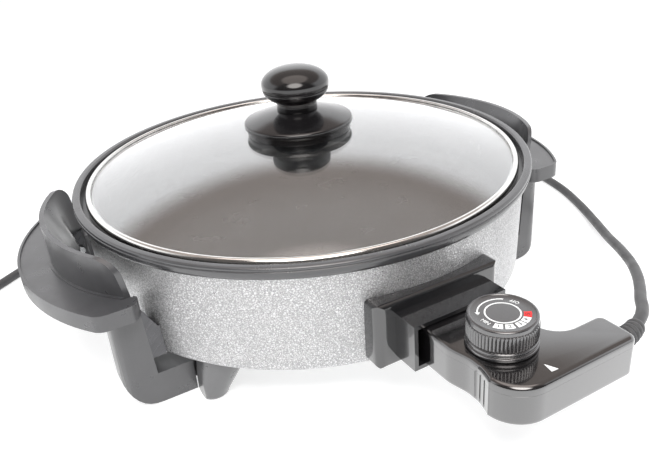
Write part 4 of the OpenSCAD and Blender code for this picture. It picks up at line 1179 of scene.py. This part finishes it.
def foot_surface(steps=96):
    """Rings at height z: centre and radius run evenly from the low to the high end, and the
    bottom edge turns in along a quarter circle to the screw's recess."""
    turn = np.radians(np.linspace(0, 90, 8))
    edge = np.stack([FOOT_LOW_R - FOOT_ROUND + FOOT_ROUND * np.sin(turn),
                     FOOT_ROUND - FOOT_ROUND * np.cos(turn)], -1)
    z = np.linspace(FOOT_ROUND, FOOT_TOP_Z, 12)[1:]
    share = np.clip((z - FOOT_ROUND) / (FOOT_WIDE_Z - FOOT_ROUND), 0, 1)
    body = np.stack([FOOT_LOW_R + (FOOT_HIGH_R - FOOT_LOW_R) * share, z], -1)
    r, z = np.hsplit(np.vstack([RECESS, edge, body, [(0, FOOT_TOP_Z)]]), 2)
    share = np.clip((z - FOOT_ROUND) / (FOOT_WIDE_Z - FOOT_ROUND), 0, 1)
    share[:len(RECESS)] = 0
    centre = FOOT_LOW + (FOOT_HIGH - FOOT_LOW) * share
    a = np.linspace(0, 2 * np.pi, steps, endpoint=False)
    x = np.minimum(centre[:, :1] + r * np.cos(a), FOOT_CUT_X)
    points = np.stack([x, centre[:, 1:] + r * np.sin(a), z + 0 * a], -1).reshape(-1, 3)
    return points, grid_faces(len(r), steps, close_columns=True)


foot_points, foot_faces = foot_surface()
for side, x_sign in (("left", -1), ("right", 1)):
    for end, y_sign in (("front", -1), ("rear", 1)):
        make_piece(f"foot_{end}_{side}_cone", (foot_points * [x_sign, y_sign, 1], foot_faces),
                   "cooker", "handle_black", FOOT_FINISH, f"foot_{end}_{side}")

# %% [markdown]
# ## Everything else
# The remaining parts keep their CAD shape. What shows gets soft edges through a copy, and
# what lies inside the housings only gets its finish. Parts of one material share a slot,
# so each slot's finish is made once, and rows name the parts that wear it.

# %% Finishes of the remaining parts, by slot
LOOKS = {
    "handle_black": moulded("handle_moulding", (0.055, 0.055, 0.058), gloss=(0.26, 0.36),
                            dust=0.02, coat=0.1, coat_gloss=0.25, level=0.9),
    "socket_black": moulded("socket_moulding", (0.010, 0.010, 0.011), gloss=(0.16, 0.24),
                            dust=0.0, depth=0.000006, coat=0.75),
    "cover_sheet": bare_metal("rolled_sheet", (0.62, 0.63, 0.63), gloss=(0.3, 0.45)),
    "bracket_sheet": bare_metal("zinc_sheet", (0.10, 0.10, 0.104), gloss=(0.24, 0.38),
                                rings=400.0),
    "screw_steel": bare_metal("zinc_screw", (0.60, 0.61, 0.62), gloss=(0.2, 0.35)),
    "rivet_alu": bare_metal("rivet_aluminium", (0.30, 0.30, 0.30), gloss=(0.3, 0.4)),
    "brass": bare_metal("brass", (0.72, 0.52, 0.22), gloss=(0.2, 0.35)),
    "element_sheath": bare_metal("heater_sheath", (0.28, 0.28, 0.28), gloss=(0.45, 0.6)),
    "stainless": bare_metal("probe_steel", (0.70, 0.70, 0.69), gloss=(0.14, 0.28)),
    "ceramic": moulded("ceramic", (0.72, 0.70, 0.64), gloss=(0.3, 0.4), dust=0.0),
    "grommet_rubber": moulded("grommet_rubber", (0.03, 0.03, 0.03), gloss=(0.5, 0.6), dust=0.0),
    "switch_brown": moulded("switch_block", (0.16, 0.07, 0.03), gloss=(0.3, 0.4), dust=0.0),
    "pin_plate": PLATED}

# %% Parts with soft edges: body, slot, width of the edges in mm, and the parts
SHOWN = [
    ("cooker", "handle_black", 0.8, "handle_left", "handle_right"),
    ("cooker", "bracket_sheet", 0.25, "bracket_left", "bracket_right"),
    ("cooker", "rivet_alu", 0.5, "bracket_rivets"),
    ("cooker", "screw_steel", 0.4, "handle_screws", "foot_screws"),
    ("cooker", "cover_sheet", 0.3, "base_cover"),
    ("cooker", "socket_black", 1.3, "connector_base"),
    ("cooker", "socket_black", 0.9, "connector_shroud"),
    ("cooker", "pin_plate", 0.0, "contact_pins"),
    ("cooker", "ceramic", 0.3, "pin_insulators"),
    ("cooker", "stainless", 0.2, "sensor_well"),
    ("controller", "screw_steel", 0.3, "controller_screws"),
    ("controller", "stainless", 0.8, "probe_rod"),
    ("lid", "screw_steel", 0.4, "lid_screw"),
    ("lid", "grommet_rubber", 0.2, "glass_grommet")]
for body, slot, width, *parts in SHOWN:
    for node in parts:
        dressed(node, body, slot, LOOKS[slot], width)

# %% Parts inside the housings
HIDDEN = {"heating_element": "element_sheath", "connector_screws": "screw_steel",
          "knob_insert": "brass", "thermostat": "switch_brown", "contact_sockets": "brass",
          "dial_spindle": "stainless"}
for node, slot in HIDDEN.items():
    nodes[node].data.materials.clear()
    nodes[node].data.materials.append(LOOKS[slot])
print("CAD parts shown as they are:", list(HIDDEN))

# %% [markdown]
# ## Floor and light
# The object stands on a plain white table in a white room. The floor keeps the object's
# shadow, but for the camera, for reflections and through glass it also glows a little, so
# that it reads as white. The light is soft. Large soft boxes in front and at both sides
# light the black plastic without showing in it, and what does show in gloss and glass is the
# room: a bright horizon with a darker room above it.

# %% Floor
FLOOR_HALF = 6.0
FLOOR_COLOUR, FLOOR_GLOW = (0.52, 0.52, 0.52, 1), 0.66
WHITE = (1, 1, 1, 1)


def make_floor():
    """Square that is matt grey to light, and glows white to the eye, to gloss and to glass."""
    corners = [(x * FLOOR_HALF, y * FLOOR_HALF, 0)
               for x, y in ((-1, -1), (1, -1), (1, 1), (-1, 1))]
    mesh = bpy.data.meshes.new("floor")
    mesh.from_pydata(corners, [], [(0, 1, 2, 3)])
    finish, tree, shader, _ = start_finish(
        "white_table", Base_Color=FLOOR_COLOUR, Roughness=0.8, Specular_IOR_Level=0.0,
        Emission_Color=WHITE)
    path = add_node(tree, "LightPath")
    seen = maths(tree, "MAXIMUM", path["Is Camera Ray"], path["Is Transmission Ray"])
    seen = maths(tree, "MULTIPLY", seen, FLOOR_GLOW)
    feed(tree, shader, {"Emission Strength": maths(tree, "ADD", path["Is Glossy Ray"], seen)})
    mesh.materials.append(finish)
    add_object("floor", mesh)


make_floor()


# %% World
HORIZON = (1.4, 1.4, 1.42, 1)
BY_HEIGHT, TO_ROOM, TO_WINDOW = (0, 0, 1), (-0.475, -0.88, 0.0), (-0.33, -0.61, 0.72)
ROOM = [(BY_HEIGHT, 0.50, 0.64, (0.50, 0.44, 0.41, 1)),
        (TO_ROOM, 0.15, 0.5, (0.12, 0.11, 0.105, 1)),
        (BY_HEIGHT, 0.87, 0.93, (1.7, 1.5, 1.4, 1)),
        (TO_WINDOW, 0.90, 0.97, (6.0, 5.7, 5.5, 1))]
SKY_LOW, SKY_HIGH = (0.40, 0.40, 0.41, 1), (0.62, 0.62, 0.63, 1)


def make_world():
    """For reflections the horizon is white and the room above it is dark. The camera's side
    is darker still. A warm lamp straight above draws the long highlights on rounded edges,
    and a window high behind the camera draws the bright ones. Each layer of the room fades
    in as the way looked in, times the layer's direction, goes from low to high. What lights
    the object is a dimmer sky, brighter overhead. The camera sees plain white."""
    world = bpy.data.worlds.new("white_room")
    bpy.context.scene.world = world
    world.use_nodes = True
    tree = world.node_tree
    way = add_node(tree, "TexCoord")["Generated"]
    mirrored = HORIZON
    for direction, low, high, colour in ROOM:
        along = add_node(tree, "VectorMath", {0: way, 1: direction},
                         operation="DOT_PRODUCT")["Value"]
        share = spread(tree, along, low, high, interpolation_type="SMOOTHSTEP")
        mirrored = mixed(tree, share, mirrored, colour)
    height = add_node(tree, "SeparateXYZ", {"Vector": way})["Z"]
    path = add_node(tree, "LightPath")
    seen = maths(tree, "MAXIMUM", path["Is Glossy Ray"], path["Is Transmission Ray"])
    room = mixed(tree, seen, mixed(tree, height, SKY_LOW, SKY_HIGH), mirrored)
    feed(tree, tree.nodes["Background"].inputs, {
        "Color": mixed(tree, path["Is Camera Ray"], room, WHITE), "Strength": 1.0})


make_world()

# %% Soft boxes
AIM = Vector((0, 0, 0.1))
BOXES = [("front_box", (-0.5, -0.9, 1.5), (1.1, 0.6), 28),
         ("left_box", (-1.5, 0.3, 1.0), (0.8, 0.5), 8),
         ("right_box", (1.2, -0.7, 1.1), (0.8, 0.5), 8)]
for name, at, size, power in BOXES:
    data = bpy.data.lights.new(name, "AREA")
    data.shape = "RECTANGLE"
    data.size, data.size_y = size
    data.energy = power
    lamp = add_object(name, data)
    lamp.visible_glossy = lamp.visible_transmission = False
    lamp.location = at
    lamp.rotation_euler = (AIM - Vector(at)).to_track_quat("-Z", "Y").to_euler()
bpy.context.scene.view_settings.view_transform = "Standard"
